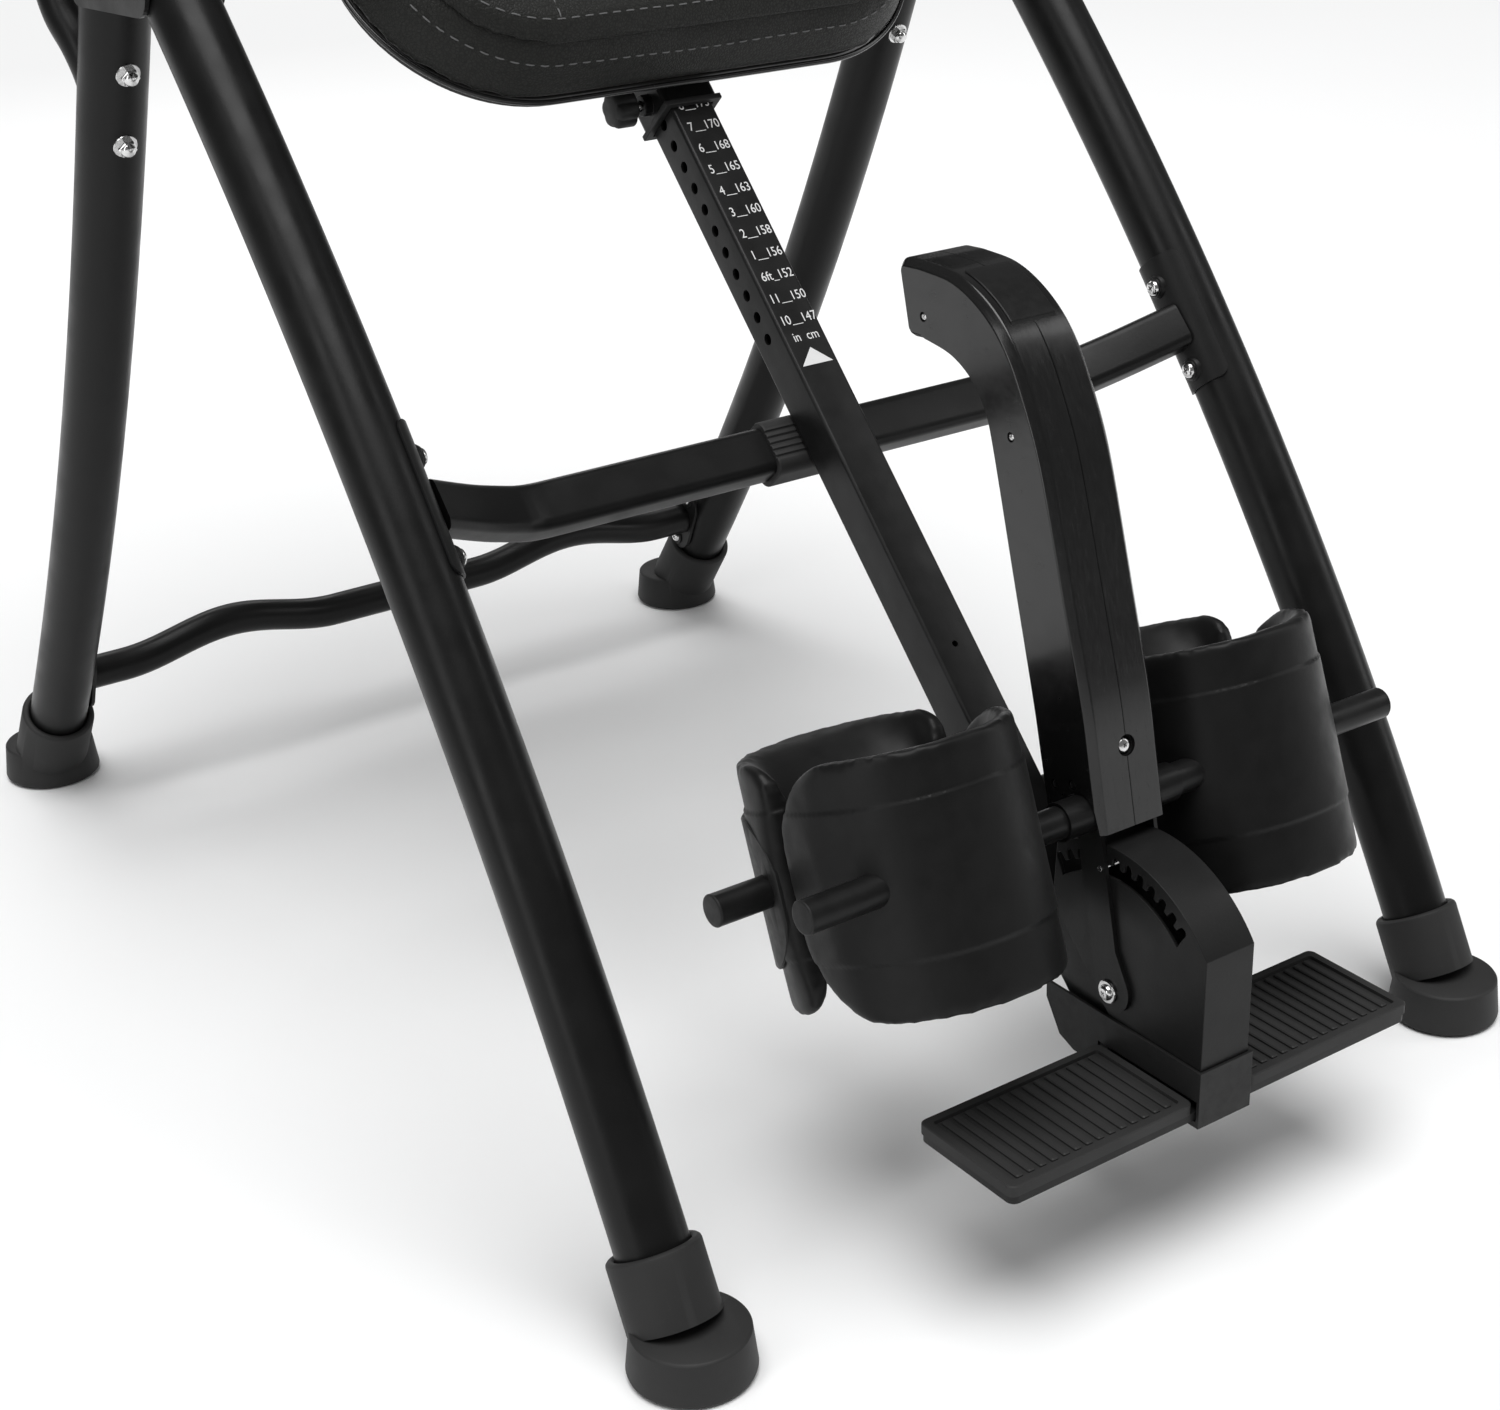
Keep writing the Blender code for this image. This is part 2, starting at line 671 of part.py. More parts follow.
def make_pivot_beam(side, axis, material):
    """A square tube from the main shaft to the pivot arm."""
    label = "left" if side < 0 else "right"
    near = SHAFT_W / 2 + GAP
    s = pivot_on_table()[0]
    stations = [(on_table(s, -0.002, side * x), ALONG, ABOVE) for x in (near, ARM_X - GAP)]
    bm = sweep(stations, rounded_rect(0.030, 0.030, 0.004, 2), rounded_rect(0.026, 0.026, 0.003, 2))
    return add_solid(f"pivot_beam_{label}", bm, material, axis)


def pivot_on_table():
    """The rocking axis as (s, n)."""
    away = Vector((0, PIVOT[0] - SHAFT_MOUTH[0], PIVOT[1] - SHAFT_MOUTH[1]))
    return away.dot(ALONG), away.dot(ABOVE)


def make_pivot_arm(side, axis, material):
    """A plate with its rocking pin, and spare holes above and below the pin."""
    label = "left" if side < 0 else "right"
    s, n = pivot_on_table()
    low = on_table(s, -0.006)
    high = on_table(s, n + 0.024)
    outline = hull_of_circles((((low.y, low.z), 0.019), ((high.y, high.z), 0.015)), 5)
    near = side * ARM_X
    arm = add_solid(f"pivot_arm_{label}", prism_x(outline, near, near + side * 0.005), material, axis)
    for offset in (-0.024, 0.024):
        hole = table_yz(s, n + offset)
        cut(arm, rod_x(hole, 0.0055, near - side * 0.01, near + side * 0.02, 12), axis)
    union(arm, rod_x(PIVOT, PIVOT_R, near + side * 0.002, side * 0.3685, 20), axis)
    return arm


def make_height_pin(axis, material):
    """The pull pin and its knob, on the left of the collar."""
    place = table_yz(KNOB_S, 0)
    knob = []
    for x, radius in ((-0.0345, 0.010), (-0.0365, KNOB_R), (-0.050, KNOB_R), (-0.0525, 0.011)):
        ring = []
        for i in range(24):
            r = radius * (1.0 if i % 4 < 2 else 0.90)
            turn = 2 * pi * i / 24
            ring.append(Vector((x, place[0] + r * cos(turn), place[1] + r * sin(turn))))
        knob.append(ring)
    pin = add_solid("height_pin", skin(knob), material, axis)
    union(pin, rod_x(place, PIN_R, PIN_TIP, -0.036, 12), axis)
    return pin


# Height shaft and foot bracket


def make_height_shaft(axis, material):
    stations = [(on_table(s, 0), ACROSS, ABOVE) for s in (HEIGHT_LOW, HEIGHT_HIGH)]
    outer = rounded_rect(HEIGHT_W, HEIGHT_H, 0.003, 2)
    inner = rounded_rect(HEIGHT_W - 2 * HEIGHT_WALL, HEIGHT_H - 2 * HEIGHT_WALL, 0.0015, 2)
    shaft = add_solid("height_shaft", sweep(stations, outer, inner), material, axis)
    drills = bmesh.new()
    for i in range(-HOLES_BELOW, HOLES_ABOVE + 1):
        drill = rod_x(table_yz(i * HOLE_PITCH, 0), HOLE_R, -0.030, -0.010, 10)
        drill_mesh = bpy.data.meshes.new("drill")
        drill.to_mesh(drill_mesh)
        drill.free()
        drills.from_mesh(drill_mesh)
        bpy.data.meshes.remove(drill_mesh)
    cut(shaft, drills, axis)
    cut(shaft, rod_x(table_yz(REAR_ROD_S, 0), ROD_R + GAP, -0.03, 0.03), axis)
    return shaft


def about_pivot(radius, degrees):
    return (ANKLE_PIVOT[0] + radius * cos(radians(degrees)), ANKLE_PIVOT[1] + radius * sin(radians(degrees)))


def bracket_outline(inset):
    """The side of the bracket: an arc about the ankle pivot, a straight front and a sloping back."""
    radius = BRACKET_R - inset
    front = BRACKET_FRONT + inset
    turn = 180 - degrees_of(asin_share(front, radius))
    points = [(BRACKET_LOW_Y, FOOTPLATE_Z[1] + GAP), (BRACKET_BACK, BRACKET_BACK_LOW)]
    points += [about_pivot(radius, a) for a in range(56, int(turn), 6)]
    points += [about_pivot(radius, turn), (front, FOOTPLATE_Z[1] + GAP)]
    return points


def asin_share(front, radius):
    return atan2(sqrt(max(radius**2 - (ANKLE_PIVOT[0] - front) ** 2, 0)), ANKLE_PIVOT[0] - front)


def degrees_of(turn):
    return turn * 180 / pi


def slot_outline():
    """An arc slot about the ankle pivot, with round notches along its outer edge."""
    inner, tips, notch = SLOT_R
    span = SLOT_STEP * SLOT_NOTCHES
    first = REST_NOTCH - (SLOT_BEFORE + 0.5) * SLOT_STEP
    points = [about_pivot(inner, first + span * (1 - i / 14)) for i in range(15)]
    for i in range(SLOT_NOTCHES):
        start = first + i * SLOT_STEP
        side = notch - 0.0022
        lobe = ((0.19, tips), (0.22, side), (0.36, notch), (0.64, notch), (0.78, side), (0.81, tips))
        for share, radius in lobe:
            points.append(about_pivot(radius, start + share * SLOT_STEP))
    return points


def make_foot_bracket(axis, material):
    """Two cheeks and a strap over them, folded from one sheet and open below and behind."""
    half = HEIGHT_W / 2 + GAP
    outer = half + BRACKET_SHEET
    bracket = add_solid("foot_bracket", prism_x(bracket_outline(0.0), -outer, outer), material, axis)
    hollow = bracket_outline(BRACKET_SHEET)
    deeper = [(BRACKET_BACK + 0.05, FOOTPLATE_Z[1] - 0.05), (BRACKET_BACK + 0.05, 0.2200)]
    hollow = deeper + [about_pivot(BRACKET_R - BRACKET_SHEET, 56)] + hollow[2:-1]
    hollow += [(BRACKET_FRONT + BRACKET_SHEET, FOOTPLATE_Z[1] - 0.05)]
    cut(bracket, prism_x(hollow, -half, half), axis)
    cut(bracket, prism_x(slot_outline(), -0.05, 0.05), axis)
    cut(bracket, rod_x(ANKLE_PIVOT, 0.0043, -0.05, 0.05, 12), axis)
    return bracket


def make_shoe(axis, material):
    """The sleeve that clasps the bracket and the footplate."""
    half = HEIGHT_W / 2 + GAP + BRACKET_SHEET + GAP
    outer = half + SHOE_SHEET
    front = BRACKET_FRONT - GAP - SHOE_SHEET
    side = [(front, SHOE_BOTTOM), (-0.500, SHOE_BOTTOM), (-0.486, 0.1010), (BRACKET_BACK + 0.001, 0.1230),
            (BRACKET_BACK + 0.001, SHOE_TOP), (front, SHOE_TOP)]
    shoe = add_solid("foot_shoe", prism_x(side, -outer, outer), material, axis)
    cut(shoe, box((-half, half), (BRACKET_FRONT - GAP, 0.0), (FOOTPLATE_Z[0] - GAP, 0.3)), axis)
    plate_y = (FOOTPLATE_Y[0] - 0.0002, FOOTPLATE_Y[1] + GAP)
    cut(shoe, box((-0.05, 0.05), plate_y, (FOOTPLATE_Z[0] - GAP, FOOTPLATE_Z[1] + GAP)), axis)
    return shoe


def make_footplate(axis, material):
    """The tread on each side is parted by a groove from the middle, where the bracket stands."""
    slab = box((-FOOTPLATE_HALF, FOOTPLATE_HALF), FOOTPLATE_Y, FOOTPLATE_Z)
    footplate = add_solid("footplate", slab, material, axis)
    top = FOOTPLATE_Z[1]
    reach = (FOOTPLATE_Y[0] - 0.01, FOOTPLATE_Y[1] + 0.01)
    for side in (-1, 1):
        near, far = sorted((side * TREAD_FROM, side * (TREAD_FROM + 0.0012)))
        cut(footplate, box((near, far), reach, (top - 0.0008, top + 0.01)), axis)
    return footplate


def make_rod(name, place, axis, material):
    rod = add_solid(name, rod_x(place, ROD_R, -ROD_HALF, ROD_HALF), material, axis)
    for side in (-1, 1):
        union(rod, rod_x(place, ROD_R + 0.0008, side * (ROD_HALF - 0.002), side * (ROD_HALF + 0.0015)), axis)
    return rod


# Cuffs


def cuff_frame(place, facing):
    """Origin, upward and outward directions of a cuff. Front cuffs face -Y, rear cuffs +Y."""
    up = Vector((0, sin(CUFF_TILT), cos(CUFF_TILT)))
    out = Vector((0, facing * cos(CUFF_TILT), -facing * sin(CUFF_TILT)))
    return Vector((0, *place)), up, out


def cuff_rings(place, facing, shape, heights, layer=0.0):
    """Outlines of a cuff that hugs the shin from the outer side, at each height."""
    centre, up, out = cuff_frame(place, facing)
    rings = []
    for h in heights:
        edge = min(h - CUFF_HEIGHT[0], CUFF_HEIGHT[1] - h, shape["end_r"])
        drawn = shape["end_r"] - sqrt(max(shape["end_r"] ** 2 - (shape["end_r"] - edge) ** 2, 0))
        back = -shape["reach"] + drawn
        half = CUFF_HALF + layer
        corner = shape["corner"] + layer
        outline = arc((half - corner, shape["outer"] + layer - corner), corner, 0, 90, 6)
        outline = [(half, min(back, outline[0][1] - 0.002))] + outline
        outline += [(-x, b) for x, b in reversed(outline)]
        bore_half = CUFF_HALF - CUFF_WALL
        deepest = max(shape["inner"], back + 0.004)
        bore = [(bore_half, back)] + arc((bore_half - 0.02, deepest - 0.004), 0.02, 0, 90, 3)[1:]
        bore = [(x, min(b, deepest)) for x, b in bore]
        bore += [(-x, b) for x, b in reversed(bore)]
        outline += list(reversed(bore))
        rings.append([centre + up * h + out * b + ACROSS * x for x, b in outline])
    return rings


def make_cuff(name, side, place, facing, shape, axis, material):
    low, high = CUFF_HEIGHT
    reach = shape["end_r"]
    heights = [low, low + reach * 0.15, low + reach * 0.5, low + reach, high - reach, high - reach * 0.5,
               high - reach * 0.15, high]
    heights = sorted(set(round(h, 5) for h in heights))
    rings = cuff_rings(place, facing, shape, heights)
    rings = [[p + ACROSS * side * CUFF_X for p in ring] for ring in rings]
    cuff = add_solid(name, skin(rings), material, axis)
    cut(cuff, rod_x(place, ROD_R + GAP, side * CUFF_X - 0.09, side * CUFF_X + 0.09), axis)
    return cuff


def make_backing(name, side, place, facing, shape, axis, material):
    """A hard shell behind a rear cuff, which carries it on the rod."""
    centre, up, out = cuff_frame(place, facing)
    half = CUFF_HALF + GAP
    corner = shape["corner"] + GAP
    rings = []
    for h in BACKING_HEIGHT:
        ring = []
        for layer in (0.0, BACKING):
            run = arc((half - corner, shape["outer"] + GAP - corner), corner + layer, 0, 90, 6)
            run = [(half + layer, -0.016)] + run
            run += [(-x, b) for x, b in reversed(run)]
            ring += run if layer else list(reversed(run))
        rings.append([centre + up * h + out * b + ACROSS * (x + side * CUFF_X) for x, b in ring])
    shell = add_solid(name, skin(rings), material, axis)
    cut(shell, rod_x(place, ROD_R + GAP, side * CUFF_X - 0.09, side * CUFF_X + 0.09), axis)
    return shell


# Ankle clamp


def arm_direction():
    away = Vector((0, FRONT_ROD[0] - ANKLE_PIVOT[0], FRONT_ROD[1] - ANKLE_PIVOT[1]))
    return away.normalized(), away.length


def make_pivot_bolt(axis, material):
    inner = HEIGHT_W / 2 + GAP + BRACKET_SHEET + GAP
    reach = inner + ARM_SHEET + GAP
    shank = rod_x(ANKLE_PIVOT, 0.0040, -reach - 0.002, reach + 0.002, 12)
    bolt = add_solid("ankle_pivot_bolt", shank, material, axis)
    for side in (-1, 1):
        union(bolt, rod_x(ANKLE_PIVOT, 0.0078, side * reach, side * (reach + 0.0045), 12), axis)
    return bolt


def make_yoke(axis, material):
    """Hub, two swing arms and the lever's post, welded together."""
    yoke = add_solid("ankle_yoke", rod_x(FRONT_ROD, HUB_R, -HUB_HALF, HUB_HALF, 20), material, axis)
    direction, length = arm_direction()
    near = HEIGHT_W / 2 + GAP + BRACKET_SHEET + GAP
    bar = hull_of_circles((((ANKLE_PIVOT[0], ANKLE_PIVOT[1]), ARM_HALF), (FRONT_ROD, ARM_HALF)), 5)
    lobe = hull_of_circles(((ARM_LOBE, ARM_LOBE_R), (about_pivot(0.030, arm_degrees()), ARM_HALF - 0.001)), 6)
    for side in (-1, 1):
        arm = prism_x(bar, side * near, side * (near + ARM_SHEET))
        union(yoke, arm, axis)
        union(yoke, prism_x(lobe, side * near, side * (near + ARM_SHEET)), axis)
    lean = lever_lean()
    foot = Vector((0, *FRONT_ROD)) + lean * 0.006
    out = Vector((0, -lean.z, lean.y))
    post = [(foot + lean * z, ACROSS, out) for z in (0.0, STUB)]
    union(yoke, sweep(post, rounded_rect(0.022, 0.020, 0.003, 1)), axis)
    cut(yoke, rod_x(FRONT_ROD, ROD_R + GAP, -0.09, 0.09), axis)
    low = about_pivot(0.0002, arm_degrees())
    high = about_pivot(-0.0052, arm_degrees())
    bolt_slot = hull_of_circles(((low, 0.0043), (high, 0.0043)), 3)
    cut(yoke, prism_x(bolt_slot, -0.05, 0.05), axis)
    cut(yoke, rod_x(about_pivot(LOCK_R, REST_NOTCH), LOCK_PIN_R + 0.0002, -0.05, 0.05, 12), axis)
    return yoke


LOCK_PIN_R = 0.0019
LOCK_R = 0.0832


def arm_degrees():
    direction, _ = arm_direction()
    return degrees_of(atan2(direction.z, direction.y))


def make_lock_pin(axis, material):
    """The cross pin of the arms, which rides in the arc slots and drops between their teeth."""
    reach = HEIGHT_W / 2 + GAP + BRACKET_SHEET + GAP + ARM_SHEET + 0.001
    pin = rod_x(about_pivot(LOCK_R, REST_NOTCH), LOCK_PIN_R, -reach, reach, 12)
    return add_solid("lock_pin", pin, material, axis)


def lever_lean():
    """The direction of the lever's straight part."""
    return Vector((0, 0.0369, 0.1223)).normalized()


def lever_outline(inset, rear_share=1.0):
    """Side view of the lever: a straight grip that bends back over the user's shins."""
    front = [(-0.5259, 0.2618), (-0.5089, 0.3399), (-0.4725, 0.4620), (-0.4620, 0.4920), (-0.4500, 0.5170)]
    bend = [(-0.4370, 0.5395), (-0.4204, 0.5585), (-0.4000, 0.5720), (-0.3771, 0.5800), (-0.3500, 0.5815)]
    nose = [(-0.3290, 0.5790), (-0.3235, 0.5745), (-0.3300, 0.5400), (-0.3350, 0.5335)]
    under = [(-0.3560, 0.5325), (-0.3780, 0.5285), (-0.3960, 0.5185), (-0.4080, 0.5040), (-0.4160, 0.4840)]
    inner = [(-0.4584, 0.3300), (-0.4750, 0.2618)]
    points = front + bend + nose + under + inner
    if not inset:
        return points
    moved = []
    count = len(points)
    rear_side = len(front + bend + nose) - 1
    for i, (y, z) in enumerate(points):
        after = points[(i + 1) % count]
        before = points[i - 1]
        ahead = Vector((after[0] - before[0], after[1] - before[1]))
        normal = Vector((ahead.y, -ahead.x)).normalized()
        depth = inset * (1.0 if i < rear_side else rear_share)
        moved.append((y + normal.x * depth, z + normal.y * depth))
    return moved


def make_lever_cover(side, axis, material):
    """One half of the lever's casing, hollow and open towards the other half."""
    label = "left" if side < 0 else "right"
    seam = side * GAP / 2
    rings = []
    edge = LEVER_HALF - LEVER_CHAMFER
    for x, inset in ((seam, 0.0), (side * edge, 0.0), (side * LEVER_HALF, LEVER_CHAMFER)):
        rings.append([Vector((x, y, z)) for y, z in lever_outline(inset, 0.3)])
    cover = add_solid(f"lever_cover_{label}", skin(rings), material, axis)
    hollow = lever_outline(LEVER_WALL + 0.0025, 0.6)
    cut(cover, prism_x(hollow, -side * 0.01, side * (LEVER_HALF - LEVER_WALL)), axis)
    lean = lever_lean()
    across = Vector((0, -lean.z, lean.y))
    hub = Vector((0, *FRONT_ROD))
    notch = []
    reach = HUB_R + 0.0008
    for along, out in ((0.0, reach), (-0.06, reach), (-0.06, -reach), (0.0, -reach)):
        point = hub + lean * along + across * out
        notch.append((point.y, point.z))
    cut(cover, prism_x(notch, -side * 0.01, side * 0.05), axis)
    cut(cover, rod_x(FRONT_ROD, HUB_R + 0.0008, -side * 0.01, side * 0.05, 24), axis)
    cut(cover, box(tuple(sorted((-side * 0.01, side * 0.0236))), (-0.52, -0.44), (0.20, 0.2700)), axis)
    return cover


# Assembly


def build():
    clear_scene()
    black_steel = make_material("black_steel", (0.020, 0.020, 0.021), 0.38, 0.35)
    bright_steel = make_material("bright_steel", (0.62, 0.62, 0.63), 0.22, 1.0)
    gloss_black = make_material("gloss_black", (0.016, 0.016, 0.017), 0.16)
    matte_black = make_material("matte_black", (0.028, 0.028, 0.029), 0.55)
    rubber = make_material("rubber", (0.035, 0.035, 0.036), 0.72)
    foam = make_material("foam", (0.022, 0.022, 0.022), 0.60)
    leather = make_material("leather", (0.040, 0.040, 0.038), 0.50)
    wood = make_material("wood", (0.055, 0.050, 0.045), 0.65)

    frame = make_axis("front_frame")
    rear = make_axis("rear_fold_axis", (0.0, *FOLD_PIN), frame)
    table = make_axis("table_pivot_axis", (0.0, *PIVOT), frame)
    height = make_axis("height_slide", tuple(on_table(0, 0)), table)
    pull = make_axis("height_pin_slide", tuple(on_table(KNOB_S, 0, -0.036)), table)
    swing = make_axis("ankle_swing_axis", (0.0, *ANKLE_PIVOT), height)
    clamp = make_axis("ankle_clamp_slide", (0.0, *ANKLE_PIVOT), swing)
    rear_rod = table_yz(REAR_ROD_S, 0)

    end_share = rear_leg_end()
    for side, label in ((-1, "left"), (1, "right")):
        make_leg(f"front_leg_{label}", side, -FOOT_Y, FRONT_BOW, FRONT_LEG_END, frame, black_steel)
        make_foot(f"front_foot_{label}", side, -FOOT_Y, FRONT_BOW, FRONT_LEG_END, FRONT_COLLAR, frame, rubber)
        leg = make_leg(f"rear_leg_{label}", side, FOOT_Y, REAR_BOW, end_share, rear, black_steel)
        cut(leg, rod_x(FOLD_PIN, FOLD_PIN_R + GAP, side * 0.28, side * 0.38), rear)
        make_foot(f"rear_foot_{label}", side, FOOT_Y, REAR_BOW, end_share, REAR_COLLAR, rear, rubber)
        make_hinge_plates(side, frame, black_steel)
        make_fold_pin(side, frame, bright_steel)
        make_bearing(side, frame, matte_black)
        cam = make_axis(f"cam_lock_axis_{label}", (side * LEG_X, *CAM_EYE), frame)
        make_cam_lock(side, cam, black_steel)
        plate = (BAR_END, (0.61, 0.79), 0.096, 0.038)
        make_end_plate(f"crossbar_plate_{label}", side, *plate, frame, black_steel)
        plate = (REAR_BAR, (-0.42, 0.90), 0.068, 0.034)
        make_end_plate(f"rear_crossbar_plate_{label}", side, *plate, rear, black_steel)
        make_handlebar(side, rear, black_steel)
        make_grip(side, rear, foam)
        make_pivot_beam(side, table, black_steel)
        make_pivot_arm(side, table, black_steel)

    make_crossbar(frame, black_steel)
    make_bumper(frame, rubber)
    make_rear_crossbar(rear, black_steel)

    make_main_shaft(table, black_steel)
    make_collar(table, matte_black)
    make_end_cap(table, matte_black)
    make_straps(table, black_steel)
    make_backrest(table, wood, leather)
    make_height_pin(pull, matte_black)

    make_height_shaft(height, black_steel)
    make_foot_bracket(height, black_steel)
    make_shoe(height, matte_black)
    make_footplate(height, rubber)
    make_rod("rear_rod", rear_rod, height, black_steel)

    make_pivot_bolt(swing, bright_steel)
    make_yoke(clamp, black_steel)
    make_rod("front_rod", FRONT_ROD, clamp, black_steel)
    make_lock_pin(clamp, bright_steel)
    for side, label in ((-1, "left"), (1, "right")):
        make_lever_cover(side, clamp, gloss_black)
        front = make_axis(f"front_cuff_axis_{label}", (side * CUFF_X, *FRONT_ROD), clamp)
        make_cuff(f"front_cuff_{label}", side, FRONT_ROD, -1, FRONT_CUFF, front, foam)
        back = make_axis(f"rear_cuff_axis_{label}", (side * CUFF_X, *rear_rod), height)
        make_cuff(f"rear_cuff_{label}", side, rear_rod, 1, REAR_CUFF, back, foam)
        make_backing(f"rear_cuff_backing_{label}", side, rear_rod, 1, REAR_CUFF, back, matte_black)


build()
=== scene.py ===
from math import asin, atan2, cos, pi, radians, sin, sqrt, tan

import bmesh
import bpy
import numpy as np
from mathutils import Matrix, Vector
from mathutils.bvhtree import BVHTree


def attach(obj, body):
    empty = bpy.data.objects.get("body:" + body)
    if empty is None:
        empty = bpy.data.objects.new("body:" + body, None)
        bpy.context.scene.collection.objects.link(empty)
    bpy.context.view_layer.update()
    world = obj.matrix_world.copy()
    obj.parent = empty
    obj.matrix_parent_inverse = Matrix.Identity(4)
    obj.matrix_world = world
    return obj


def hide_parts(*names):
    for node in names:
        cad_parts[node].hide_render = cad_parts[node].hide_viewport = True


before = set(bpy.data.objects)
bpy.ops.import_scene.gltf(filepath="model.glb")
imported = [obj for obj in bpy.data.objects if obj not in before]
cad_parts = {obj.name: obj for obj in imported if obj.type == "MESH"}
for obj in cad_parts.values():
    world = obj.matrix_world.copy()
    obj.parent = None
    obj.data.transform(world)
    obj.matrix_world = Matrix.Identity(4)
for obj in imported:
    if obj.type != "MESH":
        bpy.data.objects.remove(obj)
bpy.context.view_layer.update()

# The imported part's driving sizes, in metres. A pair is (y, z) unless a comment says otherwise.

GAP = 0.0003                        # between pieces that touch

LEG_X = 0.330
LEG_R = 0.0233
FOOT_Y = 0.512
APEX = (0.0874, 0.798)              # where the legs' lines meet
FRONT_BOW = 0.0433
REAR_BOW = 0.0317
LEG_START = 0.028                   # shares of the way from the floor to the apex
FRONT_LEG_END = 0.970
FOOT_R = 0.0395
FOOT_TOP_R = 0.0365
FOOT_SOLE = 0.031
FOOT_COLLAR_R = 0.0298
FRONT_COLLAR = 0.064
REAR_COLLAR = 0.079
FOOT_INWARD = 0.002
REAR_FOOT_FORWARD = 0.008
FOLD_PIN = (0.107, 0.747)
PLATE = 0.003
SADDLE = 0.0021
CROSSBAR_BOLTS = ((-0.2071, 0.4781), (-0.2478, 0.4253))

TABLE_ANGLE = radians(46.33)        # the main shaft's lean at rest
SHAFT_MOUTH = (-0.0485, 0.6145)
HEIGHT_W = 0.034
HEIGHT_H = 0.033
HEIGHT_LOW = -0.680                 # along the main shaft from its mouth
HEIGHT_HIGH = 0.350
HOLE_PITCH = 0.01727
HOLE_R = 0.0036
KNOB_S = HOLE_PITCH
KNOB_R = 0.0130

BOARD_N = 0.0236
BOARD = 0.010
CUSHION = 0.044
BACK_LOW = 0.008
BACK_TOP = 0.9909
BACK_HALF = 0.228
BACK_TOP_HALF = 0.200
BACK_LOW_R = 0.118
BACK_TOP_R = 0.100
HEAD_CUSHION = (0.790, 0.950)
HEAD_CUSHION_HALF = 0.130

BAR_S = -0.240                      # the crossbar's middle, along and across the shaft
BAR_N = -0.0323
BAR_LONG = 0.034
BAR_THICK = 0.024
BAR_BEND_X = 0.226
BAR_END = (-0.2275, 0.4517)
BUMPER_X = 0.040
BUMPER = 0.0033
REAR_BAR = (0.4495, 0.106)
REAR_BAR_R = 0.014
REAR_BAR_RISE = 0.0155
REAR_BAR_HUMP = (0.172, 0.100)

HANDLE_R = 0.0128
GRIP_R = 0.0172
HANDLE_ROUTE = (
    (0.172, 0.600), (0.160, 0.630), (0.155, 0.655), (0.163, 0.677), (0.178, 0.697), (0.193, 0.722),
    (0.207, 0.758), (0.223, 0.810), (0.237, 0.862), (0.239, 0.915), (0.223, 0.965), (0.187, 1.003),
    (0.137, 1.025), (0.072, 1.034),
)
GRIP_FROM = 10

ANKLE_PIVOT = (-0.5315, 0.1545)
FRONT_ROD = (-0.5062, 0.2699)
REAR_ROD_S = -0.5274
ROD_R = 0.0105
ROD_HALF = 0.2365
BRACKET_SHEET = 0.0025
BRACKET_R = 0.0985
BRACKET_FRONT = -0.6122
BRACKET_BACK = -0.4735
BRACKET_BACK_LOW = 0.1937
BRACKET_LOW_Y = -0.5497
SLOT_R = (0.0778, 0.0855, 0.0922)   # inner edge, tips of the teeth, bottoms of the notches
SLOT_BEFORE = 4                     # notches behind the one in use
SLOT_STEP = 6.96                    # degrees
SLOT_NOTCHES = 12
REST_NOTCH = 82.5                   # degrees about the ankle pivot
FOOTPLATE_HALF = 0.168
FOOTPLATE_Y = (-0.612, -0.523)
FOOTPLATE_Z = (0.1000, 0.1135)
ARM_SHEET = 0.0028
ARM_HALF = 0.0112
ARM_LOBE = (-0.5340, 0.1575)
ARM_LOBE_R = 0.0155
HUB_R = 0.0125
HUB_HALF = 0.0460
STUB = 0.060

CUFF_X = 0.125
CUFF_HALF = 0.071
CUFF_HEIGHT = (-0.0835, 0.0800)
CUFF_TILT = radians(21.0)
FRONT_CUFF = {"outer": 0.0387, "inner": -0.016, "reach": 0.0715, "end_r": 0.060,
              "round": (0.060, 0.078)}
REAR_CUFF = {"outer": 0.0547, "inner": -0.013, "reach": 0.0230, "corner": 0.066, "end_r": 0.020,
             "round": (0.066, 0.066)}
CUFF_WALL = 0.021
CUFF_RIM = 0.0095                   # the wall at the cuff's ends
BACKING = 0.003
BACKING_HEIGHT = (-0.052, 0.044)
CUFF_BAND = (0.24, 0.81)            # shares of the height where the raised band starts and ends

LEVER_HALF = 0.0278
LEVER_WALL = 0.0028
LEVER_CHAMFER = 0.0050

# Camera and light

CAMERA_PLACE = (-0.967, -1.538, 0.983)
CAMERA_AZIMUTH = -36.50
CAMERA_ELEVATION = 24.68
CAMERA_ROLL = -0.683
CAMERA_LENS = 61.17
CAMERA_SHIFT = (-0.0655, 0.0002)
WORLD_STRENGTH = 0.16
SUN_ENERGY = 2.75
SUN_ANGLE = radians(48)
SUN_AIM = (0.10, 0.16, -1.0)
CARDS = (                           # name, place, what it faces, size, watts
    ("left_card", (-2.6, -0.9, 1.5), (0.0, 0.0, 0.5), (0.7, 2.6), 16.0),
    ("right_card", (2.4, -1.5, 1.7), (0.0, 0.0, 0.5), (0.7, 2.4), 14.0),
    ("back_card", (0.6, 2.8, 2.0), (0.0, 0.0, 0.6), (2.6, 0.9), 18.0),
)


# Materials


